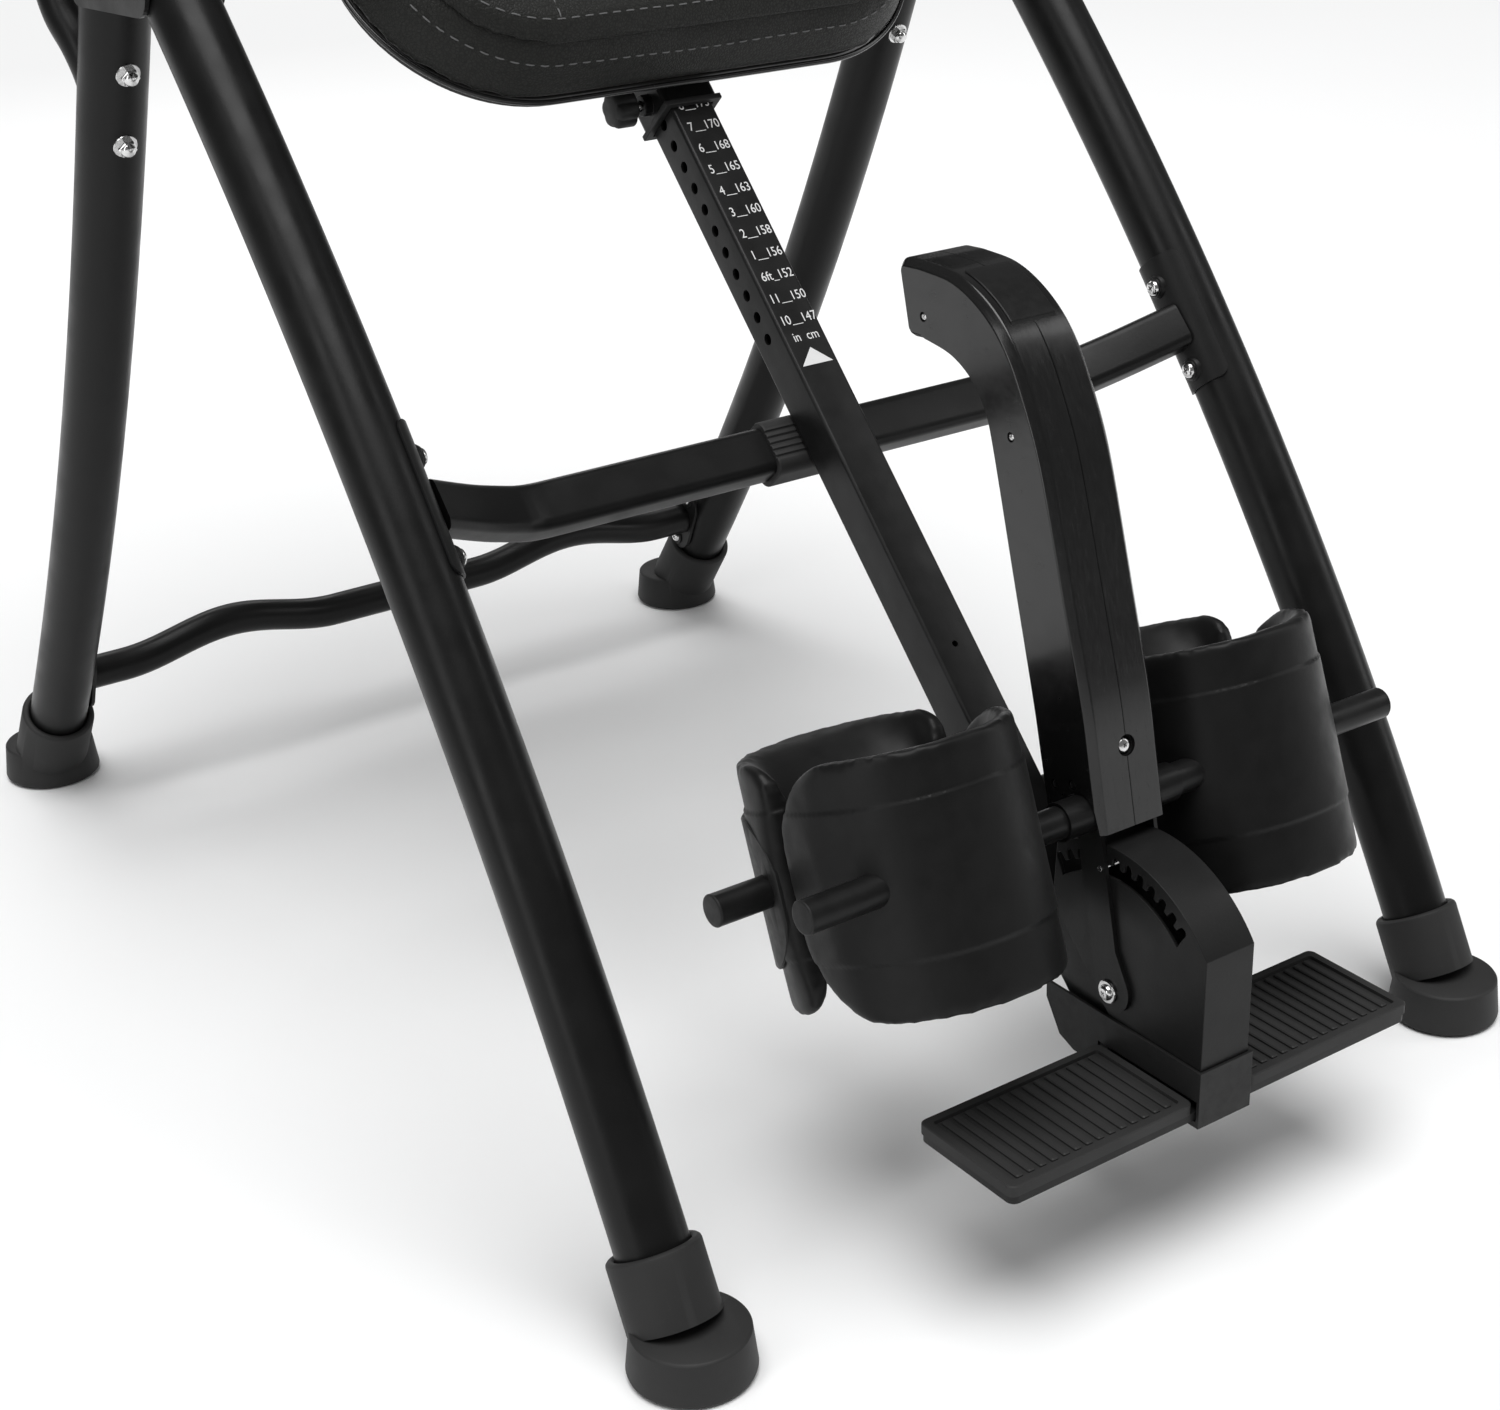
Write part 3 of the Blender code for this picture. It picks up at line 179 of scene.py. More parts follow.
class Look:
    """A Principled material and short names for the nodes that drive it."""

    def __init__(self, name, **values):
        self.material = bpy.data.materials.new(name)
        self.material.use_nodes = True
        self.tree = self.material.node_tree
        self.surface = self.tree.nodes["Principled BSDF"]
        for socket, value in values.items():
            self.surface.inputs[socket.replace("_", " ")].default_value = value
        self.place = self.tree.nodes.new("ShaderNodeTexCoord").outputs["Object"]
        self.normal = None

    def node(self, kind, sockets, **settings):
        made = self.tree.nodes.new("ShaderNode" + kind)
        for name, value in settings.items():
            setattr(made, name, value)
        for socket, value in sockets.items():
            if isinstance(value, bpy.types.NodeSocket):
                self.tree.links.new(value, made.inputs[socket])
            else:
                made.inputs[socket].default_value = value
        return made

    def noise(self, scale, detail=2.0, rough=0.5, place=None, bend=0.0):
        sockets = {"Vector": place or self.place, "Scale": scale, "Detail": detail,
                   "Roughness": rough, "Distortion": bend}
        return self.node("TexNoise", sockets).outputs["Fac"]

    def cells(self, scale, feature="F1", place=None, random=1.0):
        sockets = {"Vector": place or self.place, "Scale": scale, "Randomness": random}
        return self.node("TexVoronoi", sockets, feature=feature).outputs["Distance"]

    def stretched(self, scale, turn=(0.0, 0.0, 0.0)):
        sockets = {"Vector": self.place, "Scale": scale, "Rotation": turn}
        return self.node("Mapping", sockets).outputs["Vector"]

    def span(self, value, low, high, from_low=0.0, from_high=1.0):
        sockets = {"Value": value, "From Min": from_low, "From Max": from_high, "To Min": low, "To Max": high}
        return self.node("MapRange", sockets).outputs["Result"]

    def calc(self, operation, first, second):
        return self.node("Math", {0: first, 1: second}, operation=operation).outputs["Value"]

    def vector(self, operation, first, second):
        return self.node("VectorMath", {0: first, 1: second}, operation=operation).outputs["Vector"]

    def blend(self, share, first, second):
        sockets = {0: share, 6: (*first, 1.0) if isinstance(first, tuple) else first,
                   7: (*second, 1.0) if isinstance(second, tuple) else second}
        return self.node("Mix", sockets, data_type="RGBA").outputs[2]

    def edges(self, low=0.53, high=0.60):
        """Where the surface turns sharply outwards, as a share: the mask for the painted highlight, with some
        wear, along edges.
        """
        pointiness = self.tree.nodes.new("ShaderNodeNewGeometry").outputs["Pointiness"]
        return self.span(pointiness, 0.0, 1.0, low, high)

    def colour(self, value):
        self.tree.links.new(value, self.surface.inputs["Base Color"])

    def roughness(self, value):
        self.tree.links.new(value, self.surface.inputs["Roughness"])

    def bump(self, height, strength, distance):
        sockets = {"Height": height, "Strength": strength, "Distance": distance}
        if self.normal:
            sockets["Normal"] = self.normal
        self.normal = self.node("Bump", sockets).outputs["Normal"]
        self.tree.links.new(self.normal, self.surface.inputs["Normal"])


def grey(value, warm=0.0):
    return (value * (1 + warm), value, value * (1 - warm))


def powder_coat(name, shade=0.0062, gloss=0.34):
    """Satin powder coat: a fine orange peel, cloudy gloss, and edges painted lighter, partly as wear and
    partly as a painted highlight.
    """
    look = Look(name, Specular_IOR_Level=0.20)
    cloud = look.noise(14.0, 3.0)
    fleck = look.noise(1400.0, 1.0)
    base = look.blend(cloud, grey(shade * 0.82), grey(shade * 1.22))
    base = look.blend(look.span(fleck, 0.0, 0.5, 0.62, 0.80), base, grey(shade * 2.4))
    # paler along sharp edges: partly wear, partly a painted highlight
    edge_wear_and_highlight = look.calc("MULTIPLY", look.edges(), look.noise(70.0, 4.0))
    look.colour(look.blend(look.span(edge_wear_and_highlight, 0.0, 0.55, 0.3, 0.9), base, grey(shade * 3.2)))
    look.roughness(look.span(look.noise(38.0, 4.0), gloss - 0.06, gloss + 0.07, 0.3, 0.7))
    look.bump(look.noise(420.0, 2.0), 0.10, 0.0004)
    look.bump(fleck, 0.12, 0.00012)
    return look.material


def gloss_plastic(name):
    """Moulded high-gloss plastic with faint flow marks and hairline scuffs."""
    look = Look(name, Specular_IOR_Level=0.42, Coat_Weight=0.18, Coat_Roughness=0.10)
    look.colour(look.blend(look.noise(11.0, 2.0), grey(0.0045), grey(0.0075)))
    scuffs = look.noise(60.0, 6.0, 0.7, look.stretched((9.0, 1.0, 1.6), (0.3, 0.0, 0.2)))
    look.roughness(look.span(scuffs, 0.19, 0.30, 0.42, 0.72))
    look.bump(look.noise(55.0, 2.0), 0.05, 0.0010)
    return look.material


def matte_plastic(name, shade=0.014, gloss=0.48):
    """Spark-eroded texture on moulded plastic, with flow clouds."""
    look = Look(name, Specular_IOR_Level=0.22)
    cloud = look.noise(22.0, 3.0, 0.6)
    pits = look.cells(1500.0, "SMOOTH_F1")
    base = look.blend(cloud, grey(shade * 0.85), grey(shade * 1.15))
    # paler along sharp edges: partly wear, partly a painted highlight
    edge_wear_and_highlight = look.span(look.calc("MULTIPLY", look.edges(), look.noise(90.0, 3.0)), 0.0, 0.4, 0.3, 0.9)
    look.colour(look.blend(edge_wear_and_highlight, base, grey(shade * 2.0)))
    look.roughness(look.span(look.noise(160.0, 4.0), gloss - 0.06, gloss + 0.08, 0.3, 0.7))
    look.bump(pits, 0.16, 0.00025)
    look.bump(look.noise(700.0, 3.0), 0.10, 0.00020)
    return look.material


def rubber(name, shade=0.020, gloss=0.58):
    """Matte rubber with a fine stipple, paler where dusty, and paler along edges as a painted highlight with
    some rubbing wear.
    """
    look = Look(name, Specular_IOR_Level=0.28)
    cloud = look.noise(17.0, 5.0, 0.65)
    stipple = look.noise(1100.0, 2.0)
    base = look.blend(cloud, grey(shade * 0.82), grey(shade * 1.18, 0.01))
    dust = look.span(look.noise(240.0, 4.0, 0.7), 0.0, 0.35, 0.58, 0.80)
    base = look.blend(dust, base, grey(shade * 1.7, 0.02))
    # paler along sharp edges: a painted highlight, partly rubbing wear
    look.colour(look.blend(look.span(look.edges(), 0.0, 0.35), base, grey(shade * 1.9)))
    look.roughness(look.span(cloud, gloss - 0.06, gloss + 0.10, 0.3, 0.7))
    look.bump(stipple, 0.18, 0.00025)
    return look.material


def moulded_foam(name, shade=0.0058, gloss=0.42):
    """Skinned foam: a soft satin skin with tiny pores and shallow dimples."""
    look = Look(name, Specular_IOR_Level=0.20, Sheen_Weight=0.02, Sheen_Roughness=0.4)
    cloud = look.noise(13.0, 3.0)
    pores = look.cells(900.0, "F1")
    look.colour(look.blend(cloud, grey(shade * 0.85), grey(shade * 1.20)))
    look.roughness(look.span(look.noise(70.0, 4.0), gloss - 0.05, gloss + 0.08, 0.3, 0.7))
    look.bump(look.noise(120.0, 3.0), 0.10, 0.0010)
    look.bump(look.span(pores, 0.0, 1.0, 0.05, 0.35), 0.10, 0.00025)
    return look.material


def leather(name):
    """Coated leather: pebble grain cut by longer creases, with a slight green-brown cast."""
    look = Look(name, Specular_IOR_Level=0.26, Sheen_Weight=0.02, Sheen_Roughness=0.35)
    waves = look.node("TexNoise", {"Vector": look.place, "Scale": 140.0}).outputs["Color"]
    drift = look.vector("MULTIPLY", waves, (0.0016, 0.0016, 0.0016))
    place = look.vector("ADD", look.place, drift)
    pebbles = look.cells(430.0, "DISTANCE_TO_EDGE", place)
    fine = look.cells(980.0, "DISTANCE_TO_EDGE", place)
    creases = look.noise(52.0, 5.0, 0.62, look.stretched((1.0, 2.6, 2.2)), 0.8)
    grain = look.span(pebbles, 0.0, 1.0, 0.0, 0.22)
    fine_grain = look.span(fine, 0.0, 1.0, 0.0, 0.30)
    cloud = look.noise(6.5, 4.0)
    base = look.blend(cloud, (0.0100, 0.0103, 0.0088), (0.0165, 0.0170, 0.0148))
    base = look.blend(grain, (0.0060, 0.0062, 0.0055), base)
    look.colour(base)
    raised = look.calc("MULTIPLY", grain, look.span(creases, 0.6, 1.0, 0.3, 0.7))
    look.roughness(look.span(raised, 0.60, 0.40))
    look.bump(creases, 0.30, 0.0014)
    look.bump(grain, 0.42, 0.00045)
    look.bump(fine_grain, 0.22, 0.00022)
    return look.material


def chrome(name):
    """Bright zinc plate with faint turning marks and a little tarnish."""
    look = Look(name, Metallic=1.0)
    tarnish = look.noise(420.0, 4.0, 0.65)
    look.colour(look.blend(look.span(tarnish, 0.0, 0.6, 0.45, 0.75), grey(0.72), grey(0.48, 0.02)))
    look.roughness(look.span(tarnish, 0.13, 0.30, 0.35, 0.75))
    look.bump(look.noise(2600.0, 2.0), 0.08, 0.00008)
    return look.material


def painted_board(name):
    """Painted plywood: a straight grain under thin black paint."""
    look = Look(name, Specular_IOR_Level=0.30)
    grain = look.noise(34.0, 6.0, 0.6, look.stretched((14.0, 1.0, 1.0)), 0.4)
    look.colour(look.blend(grain, grey(0.0095), grey(0.0190, 0.05)))
    look.roughness(look.span(grain, 0.42, 0.58, 0.3, 0.7))
    look.bump(grain, 0.22, 0.0006)
    return look.material


def print_ink(name):
    """Screen-printed white, thin in places."""
    look = Look(name, Specular_IOR_Level=0.4)
    thin = look.noise(1500.0, 4.0, 0.7)
    look.colour(look.blend(look.span(thin, 0.0, 0.55, 0.60, 0.78), grey(0.72), grey(0.36)))
    look.roughness(look.span(thin, 0.45, 0.60))
    look.bump(thin, 0.15, 0.0001)
    return look.material


def thread(name):
    """Twisted thread."""
    look = Look(name, Specular_IOR_Level=0.3, Sheen_Weight=0.2)
    twist = look.noise(1900.0, 2.0, 0.5, look.stretched((1.0, 3.0, 1.0)))
    look.colour(look.blend(twist, grey(0.075), grey(0.175, -0.01)))
    look.roughness(look.span(twist, 0.55, 0.75))
    look.bump(twist, 0.4, 0.0003)
    return look.material


def floor_paint(name):
    look = Look(name, Specular_IOR_Level=0.08)
    cloud = look.noise(1.3, 2.0)
    look.colour(look.blend(cloud, (0.885, 0.888, 0.890), (0.895, 0.897, 0.898)))
    look.roughness(look.span(cloud, 0.85, 0.95))
    return look.material


STEEL = powder_coat("satin_powder_coat")
PLATE_STEEL = powder_coat("satin_powder_coat_sheet", 0.0095, 0.40)
GLOSS = gloss_plastic("gloss_moulded_plastic")
MATTE = matte_plastic("textured_moulded_plastic")
INLAY = matte_plastic("fine_textured_inlay", 0.010, 0.34)
RUBBER = rubber("stippled_rubber")
FOAM = moulded_foam("skinned_foam")
LEATHER = leather("grained_coated_leather")
CHROME = chrome("bright_zinc")
WOOD = painted_board("painted_board")
INK = print_ink("printed_scale")
THREAD = thread("seam_thread")
SLOT_LOOKS = {"black_steel": STEEL, "bright_steel": CHROME, "gloss_black": GLOSS, "matte_black": MATTE,
              "rubber": RUBBER, "foam": FOAM, "leather": LEATHER, "wood": WOOD}


# Shapes


def circle(radius, sides=48):
    return [(radius * cos(2 * pi * i / sides), radius * sin(2 * pi * i / sides)) for i in range(sides)]


def arc(centre, radius, start, end, steps):
    turns = [radians(start + (end - start) * i / steps) for i in range(steps + 1)]
    return [(centre[0] + radius * cos(t), centre[1] + radius * sin(t)) for t in turns]


def rounded_rect(width, height, radius, steps=6):
    points = []
    for sx, sy, start in ((1, 1, 0), (-1, 1, 90), (-1, -1, 180), (1, -1, 270)):
        corner = (sx * (width / 2 - radius), sy * (height / 2 - radius))
        points += arc(corner, radius, start, start + 90, steps)
    return points


def skin(rings, closed=False):
    """Quads between rings of points. The first and last are capped, unless the rings close on themselves."""
    bm = bmesh.new()
    shells = [[bm.verts.new(point) for point in ring] for ring in rings]
    pairs = list(zip(shells, shells[1:] + shells[:1])) if closed else list(zip(shells, shells[1:]))
    for low, high in pairs:
        for i in range(len(low)):
            j = (i + 1) % len(low)
            bm.faces.new((low[i], low[j], high[j], high[i]))
    if not closed:
        bm.faces.new(reversed(shells[0]))
        bm.faces.new(shells[-1])
    return bm


def sweep(stations, profile):
    return skin([[c + a * p + b * q for p, q in profile] for c, a, b in stations])


def smooth_path(points, steps):
    """Points of a smooth curve through the given ones."""
    made = []
    count = len(points)
    for i in range(count - 1):
        a, b, c, d = (points[max(i - 1, 0)], points[i], points[i + 1], points[min(i + 2, count - 1)])
        for k in range(steps):
            t = k / steps
            made.append(0.5 * (2 * b + (c - a) * t + (2 * a - 5 * b + 4 * c - d) * t ** 2
                               + (3 * b - a - 3 * c + d) * t ** 3))
    return made + [points[-1].copy()]


def smooth_outline(points, steps):
    return [(p.x, p.y) for p in smooth_path([Vector((y, z)) for y, z in points], steps)]


def path_stations(points):
    stations = []
    for i, point in enumerate(points):
        ahead = points[min(i + 1, len(points) - 1)] - points[max(i - 1, 0)]
        along = ahead.normalized()
        side = Vector((1, 0, 0)) - along * along.x
        side.normalize()
        stations.append((point, side, along.cross(side)))
    return stations


def turned(place, axis, profile, sides=48):
    """A lathed solid: the profile holds (distance along the axis, radius), from one end to the other."""
    along = Vector(axis).normalized()
    side = along.orthogonal().normalized()
    other = along.cross(side)
    rings = []
    for t, r in profile:
        centre = Vector(place) + along * t
        rings.append([centre + side * p + other * q for p, q in circle(max(r, 1e-5), sides)])
    return skin(rings)


def rod_x(place, radius, x_from, x_to, sides=48, edge=0.0):
    """A cylinder along X at (y, z), its ends rounded by edge."""
    near, far = min(x_from, x_to), max(x_from, x_to)
    turns = (0, pi / 6, pi / 3, pi / 2) if edge else (pi / 2,)
    profile = [(near + edge * (1 - cos(t)), radius - edge * (1 - sin(t))) for t in turns]
    profile += [(far + near - t, r) for t, r in reversed(profile)]
    return turned((0, *place), (1, 0, 0), profile, sides)


def prism_x(outline, x_from, x_to):
    return skin([[Vector((x, y, z)) for y, z in outline] for x in (x_from, x_to)])


def on_table(s, n, x=0.0):
    """A point s along the main shaft and n above its axis."""
    c, q = cos(TABLE_ANGLE), sin(TABLE_ANGLE)
    return Vector((x, SHAFT_MOUTH[0] + s * c - n * q, SHAFT_MOUTH[1] + s * q + n * c))


def table_yz(s, n):
    return tuple(on_table(s, n))[1:]


ALONG = Vector((0, cos(TABLE_ANGLE), sin(TABLE_ANGLE)))
ABOVE = Vector((0, -sin(TABLE_ANGLE), cos(TABLE_ANGLE)))
ACROSS = Vector((1, 0, 0))


def box(x, y, z):
    corners = ((y[0], z[0]), (y[1], z[0]), (y[1], z[1]), (y[0], z[1]))
    return prism_x(corners, x[0], x[1])


def hull_of_circles(circles, steps=24):
    points = []
    for centre, radius in circles:
        points += arc(centre, radius, 0, 360 - 360 / (4 * steps), 4 * steps - 1)
    points = sorted(set((round(y, 6), round(z, 6)) for y, z in points))

    def half(run):
        chain = []
        for y, z in run:
            while len(chain) > 1:
                (ay, az), (by, bz) = chain[-2:]
                if (by - ay) * (z - az) - (bz - az) * (y - ay) > 0:
                    break
                chain.pop()
            chain.append((y, z))
        return chain[:-1]

    return half(points) + half(points[::-1])


def merged(parts):
    """One bmesh that holds several."""
    bm = bmesh.new()
    for part in parts:
        mesh = bpy.data.meshes.new("part")
        part.to_mesh(mesh)
        part.free()
        bm.from_mesh(mesh)
        bpy.data.meshes.remove(mesh)
    return bm


def new_object(name, bm, material, angle=38):
    bmesh.ops.recalc_face_normals(bm, faces=bm.faces)
    mesh = bpy.data.meshes.new(name)
    bm.to_mesh(mesh)
    bm.free()
    mesh.shade_smooth()
    mesh.set_sharp_from_angle(angle=radians(angle))
    mesh.materials.append(material)
    obj = bpy.data.objects.new(name, mesh)
    bpy.context.scene.collection.objects.link(obj)
    return obj


def apply_modifiers(obj):
    graph = bpy.context.evaluated_depsgraph_get()
    mesh = bpy.data.meshes.new_from_object(obj.evaluated_get(graph), depsgraph=graph)
    obj.modifiers.clear()
    obj.data = mesh
    return obj


def boolean(obj, operation, cutters, angle=38):
    """Applies one exact Boolean for each closed shape."""
    helpers = []
    for bm in cutters:
        helper = new_object("helper", bm, None)
        modifier = obj.modifiers.new("shape", "BOOLEAN")
        modifier.operation = operation
        modifier.object = helper
        helpers.append(helper)
    apply_modifiers(obj)
    for helper in helpers:
        bpy.data.objects.remove(helper)
    obj.data.shade_smooth()
    obj.data.set_sharp_from_angle(angle=radians(angle))
    return obj


def soften(obj, width, segments=2, angle=32):
    """Rounds the sharp edges."""
    bevel = obj.modifiers.new("soft_edges", "BEVEL")
    bevel.width = width
    bevel.segments = segments
    bevel.limit_method = "ANGLE"
    bevel.angle_limit = radians(angle)
    bevel.harden_normals = True
    return obj


def finish_piece(obj, body, replaced=(), edge=0.0):
    if edge:
        soften(obj, edge)
    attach(obj, body)
    if replaced:
        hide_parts(*replaced)
    return obj


SIDES = ((-1, "left"), (1, "right"))


# Hardware


def cross_recess(place, axis, size, depth):
    """Two crossed bars to cut a screw's recess."""
    along = Vector(axis).normalized()
    side = along.orthogonal().normalized()
    other = along.cross(side)
    bars = []
    for a, b in ((side, other), (other, side)):
        rings = []
        for t, k in ((-depth, 0.35), (size, 1.0)):
            centre = Vector(place) + along * t
            rings.append([centre + a * p * size * k + b * q * size * 0.26 * k
                          for p, q in ((1, 1), (-1, 1), (-1, -1), (1, -1))])
        bars.append(skin(rings))
    return bars


def pan_screw(name, place, axis, radius, body, washer=0.0, look=None):
    """A domed screw head with a cross recess, on a washer if it has one."""
    along = Vector(axis).normalized()
    place = Vector(place)
    height = radius * 0.62
    profile = [(-0.002, radius * 0.5), (0.0, radius)]
    profile += [(height * sin(t), radius * cos(t) ** 0.55) for t in (0.25, 0.5, 0.75, 1.0, 1.25, 1.45)]
    head = new_object(name, turned(place + along * (0.0012 if washer else 0), along, profile, 40),
                      look or CHROME, 50)
    boolean(head, "DIFFERENCE", cross_recess(place + along * height, along, radius * 0.52, radius * 0.45), 30)
    finish_piece(head, body, edge=radius * 0.03)
    if washer:
        disc = [(-0.001, washer * 0.97), (0.0006, washer), (0.0012, washer * 0.94), (0.0012, radius * 0.4)]
        ring = new_object(name + "_washer", turned(place, along, disc, 40), STEEL, 30)
        finish_piece(ring, body)
    return head


def acorn_nut(name, place, axis, size, body, turn=0.2):
    """A chromed cap nut: a hexagon under a dome, on a washer."""
    along = Vector(axis).normalized()
    side = along.orthogonal().normalized()
    other = along.cross(side)
    rings = []
    for t, k in ((0.0, 0.94), (0.0006, 1.0), (size * 0.72, 1.0), (size * 0.86, 0.90)):
        centre = Vector(place) + along * t
        turns = [turn + pi * i / 3 for i in range(6)]
        rings.append([centre + (side * cos(a) + other * sin(a)) * size * k for a in turns])
    hexagon = new_object(name, skin(rings), CHROME, 20)
    dome = [(size * 0.5, size * 0.80)]
    dome += [(size * (0.78 + 0.62 * sin(t)), size * 0.80 * cos(t)) for t in (0.0, 0.3, 0.6, 0.9, 1.2, 1.45)]
    boolean(hexagon, "UNION", [turned(place, along, dome, 36)], 25)
    finish_piece(hexagon, body, edge=size * 0.035)
    disc = [(-0.003, size * 1.22), (0.0002, size * 1.30), (0.0008, size * 1.26), (0.0008, size * 0.5)]
    ring = new_object(name + "_washer", turned(place, along, disc, 40), CHROME, 30)
    finish_piece(ring, body)


def cap_plug(name, place, axis, radius, body):
    """A moulded plug in an open tube end."""
    profile = [(-0.008, radius - 0.0022), (0.0, radius - 0.0022), (0.0, radius + 0.0002),
               (0.0012, radius + 0.0004), (0.0030, radius - 0.0020), (0.0042, radius * 0.72),
               (0.0046, radius * 0.3)]
    finish_piece(new_object(name, turned(place, axis, profile, 48), MATTE, 30), body)


# Legs and feet


def leg_point(foot_y, bow, share, x):
    foot = Vector((x, foot_y, 0))
    top = Vector((x, *APEX))
    ahead = (top - foot).normalized()
    forward = Vector((0, -ahead.z, ahead.y))
    if forward.y > 0:
        forward = -forward
    return foot.lerp(top, share) + forward * (4 * bow * share * (1 - share))


def leg_axis(foot_y, bow, start, end, x, steps=44):
    return [leg_point(foot_y, bow, start + (end - start) * i / steps, x) for i in range(steps + 1)]


def leg_share(foot_y, bow, z):
    """How far along a leg's axis a height is, as a share."""
    low, high = 0.0, 1.0
    for _ in range(40):
        middle = (low + high) / 2
        if leg_point(foot_y, bow, middle, LEG_X).z < z:
            low = middle
        else:
            high = middle
    return low


REAR_LEG_END = leg_share(FOOT_Y, REAR_BOW, FOLD_PIN[1] + 0.010)
LEGS = {                            # the foot's y, the leg's bow, its upper end, the collar's length
    "front": (-FOOT_Y, FRONT_BOW, FRONT_LEG_END, FRONT_COLLAR),
    "rear": (FOOT_Y, REAR_BOW, REAR_LEG_END, REAR_COLLAR),
}


def make_leg(label, side, end):
    foot_y, bow, top, _ = LEGS[end]
    body = f"{end}_frame"
    points = leg_axis(foot_y, bow, LEG_START, top, side * LEG_X)
    leg = new_object(f"{end}_leg_tube_{label}", sweep(path_stations(points), circle(LEG_R, 64)), STEEL)
    finish_piece(leg, body, (f"{end}_leg_{label}",))
    cap_plug(f"{end}_leg_plug_{label}", points[-1], points[-1] - points[-2], LEG_R, body)


def make_foot(label, side, end):
    foot_y, bow, _, length = LEGS[end]
    x = side * LEG_X
    sole_x = x - side * FOOT_INWARD
    sole_y = min(foot_y, FOOT_Y - REAR_FOOT_FORWARD)
    slope = (FOOT_R - FOOT_TOP_R) / FOOT_SOLE
    profile = [(0.0, FOOT_R - 0.0050), (0.0006, FOOT_R - 0.0024), (0.0022, FOOT_R - 0.0006), (0.0042, FOOT_R)]
    profile += [(FOOT_SOLE - 0.0016, FOOT_TOP_R + slope * 0.0016), (FOOT_SOLE - 0.0006, FOOT_TOP_R - 0.0006),
                (FOOT_SOLE, FOOT_TOP_R - 0.0018)]
    sole = turned((sole_x, sole_y, 0), (0, 0, 1), profile, 80)
    inner = LEG_R + 0.0004
    outer = FOOT_COLLAR_R
    rim = [(0.018, outer), (length - 0.0032, outer), (length - 0.0016, outer - 0.0004),
           (length - 0.0004, outer - 0.0016), (length, outer - 0.0030), (length - 0.0002, inner + 0.0016),
           (length - 0.0012, inner + 0.0004), (length - 0.0026, inner), (0.019, inner)]
    straight = (leg_point(foot_y, bow, 1.0, x) - leg_point(foot_y, bow, 0.0, x)).length
    rings = []
    for t, r in rim:
        share = (0.012 + t) * 0.985 / straight
        here = leg_point(foot_y, bow, share, x)
        ahead = (leg_point(foot_y, bow, share + 0.01, x) - here).normalized()
        _, a, b = path_stations([here - ahead, here, here + ahead])[1]
        rings.append([here + a * p + b * q for p, q in circle(r, 80)])
    collar = skin(rings)
    foot = new_object(f"{end}_foot_rubber_{label}", sole, RUBBER, 30)
    boolean(foot, "UNION", [collar], 30)
    finish_piece(foot, f"{end}_frame", (f"{end}_foot_{label}",), edge=0.0006)


for side, label in SIDES:
    for end in ("front", "rear"):
        make_leg(label, side, end)
        make_foot(label, side, end)


# Crossbars


def crossbar_points():
    middle = on_table(BAR_S, BAR_N)
    end = Vector((0, *BAR_END))
    reach = LEG_X - LEG_R - SADDLE - 0.0001
    half = []
    for x, share in ((0.06, 0.0), (0.14, 0.0), (BAR_BEND_X - 0.026, 0.0), (BAR_BEND_X - 0.010, 0.01),
                     (BAR_BEND_X, 0.05), (BAR_BEND_X + 0.010, 0.135), (BAR_BEND_X + 0.040, 0.466),
                     (reach, 1.0)):
        place = middle.lerp(end, share)
        half.append(Vector((x, place.y, place.z)))
    return smooth_path([Vector((-p.x, p.y, p.z)) for p in half][::-1] + half, 6)


def make_crossbars():
    profile = rounded_rect(BAR_LONG, BAR_THICK, 0.0068, 10)
    stations = [(p, ALONG, ABOVE) for p in crossbar_points()]
    bar = new_object("front_crossbar_tube", sweep(stations, profile), STEEL)
    finish_piece(bar, "front_frame", ("front_crossbar",))

    reach = LEG_X - LEG_R - GAP - PLATE - GAP
    place, half = REAR_BAR_HUMP
    points = []
    for i in range(97):
        x = -reach + 2 * reach * i / 96
        rise = REAR_BAR_RISE * (1 + cos(pi * min(abs(abs(x) - place) / half, 1))) / 2
        points.append(Vector((x, REAR_BAR[0], REAR_BAR[1] + rise)))
    stations = [(p, Vector((0, 1, 0)), Vector((0, 0, 1))) for p in points]
    bar = new_object("rear_crossbar_tube", sweep(stations, circle(REAR_BAR_R, 48)), STEEL)
    finish_piece(bar, "rear_frame", ("rear_crossbar",))


def bumper_profile():
    """The sleeve's section: a rounded rectangle with ribs on the face that the table rests on."""
    points = []
    for p, q in rounded_rect(BAR_LONG + 2 * BUMPER, BAR_THICK + 2 * BUMPER, 0.0085, 10):
        points.append((p, q))
    dense = []
    count = len(points)
    for i in range(count):
        a = Vector(points[i])
        b = Vector(points[(i + 1) % count])
        steps = max(1, int((b - a).length / 0.0004))
        dense += [a.lerp(b, k / steps) for k in range(steps)]
    made = []
    for point in dense:
        groove = 0.0
        if abs(point.x) < BAR_LONG / 2 + BUMPER - 0.0085:
            groove = 0.0011 * max(0.0, cos(2 * pi * point.x / 0.0047)) ** 0.7
        made.append((point.x, point.y - groove if point.y > 0 else point.y + groove))
    return made


def make_bumper():
    middle = on_table(BAR_S, BAR_N)
    rings = []
    full = BUMPER_X - 0.0009
    for x, size in ((-BUMPER_X, 0.973), (-full, 1.0), (full, 1.0), (BUMPER_X, 0.973)):
        rings.append([middle + ACROSS * x + (ALONG * p + ABOVE * q) * size for p, q in bumper_profile()])
    sleeve = new_object("crossbar_bumper_sleeve", skin(rings), RUBBER, 25)
    finish_piece(sleeve, "front_frame", ("crossbar_bumper",))


def on_front_leg(z, side):
    """The point of a front leg's axis at a height."""
    return leg_point(-FOOT_Y, FRONT_BOW, leg_share(-FOOT_Y, FRONT_BOW, z), side * LEG_X)


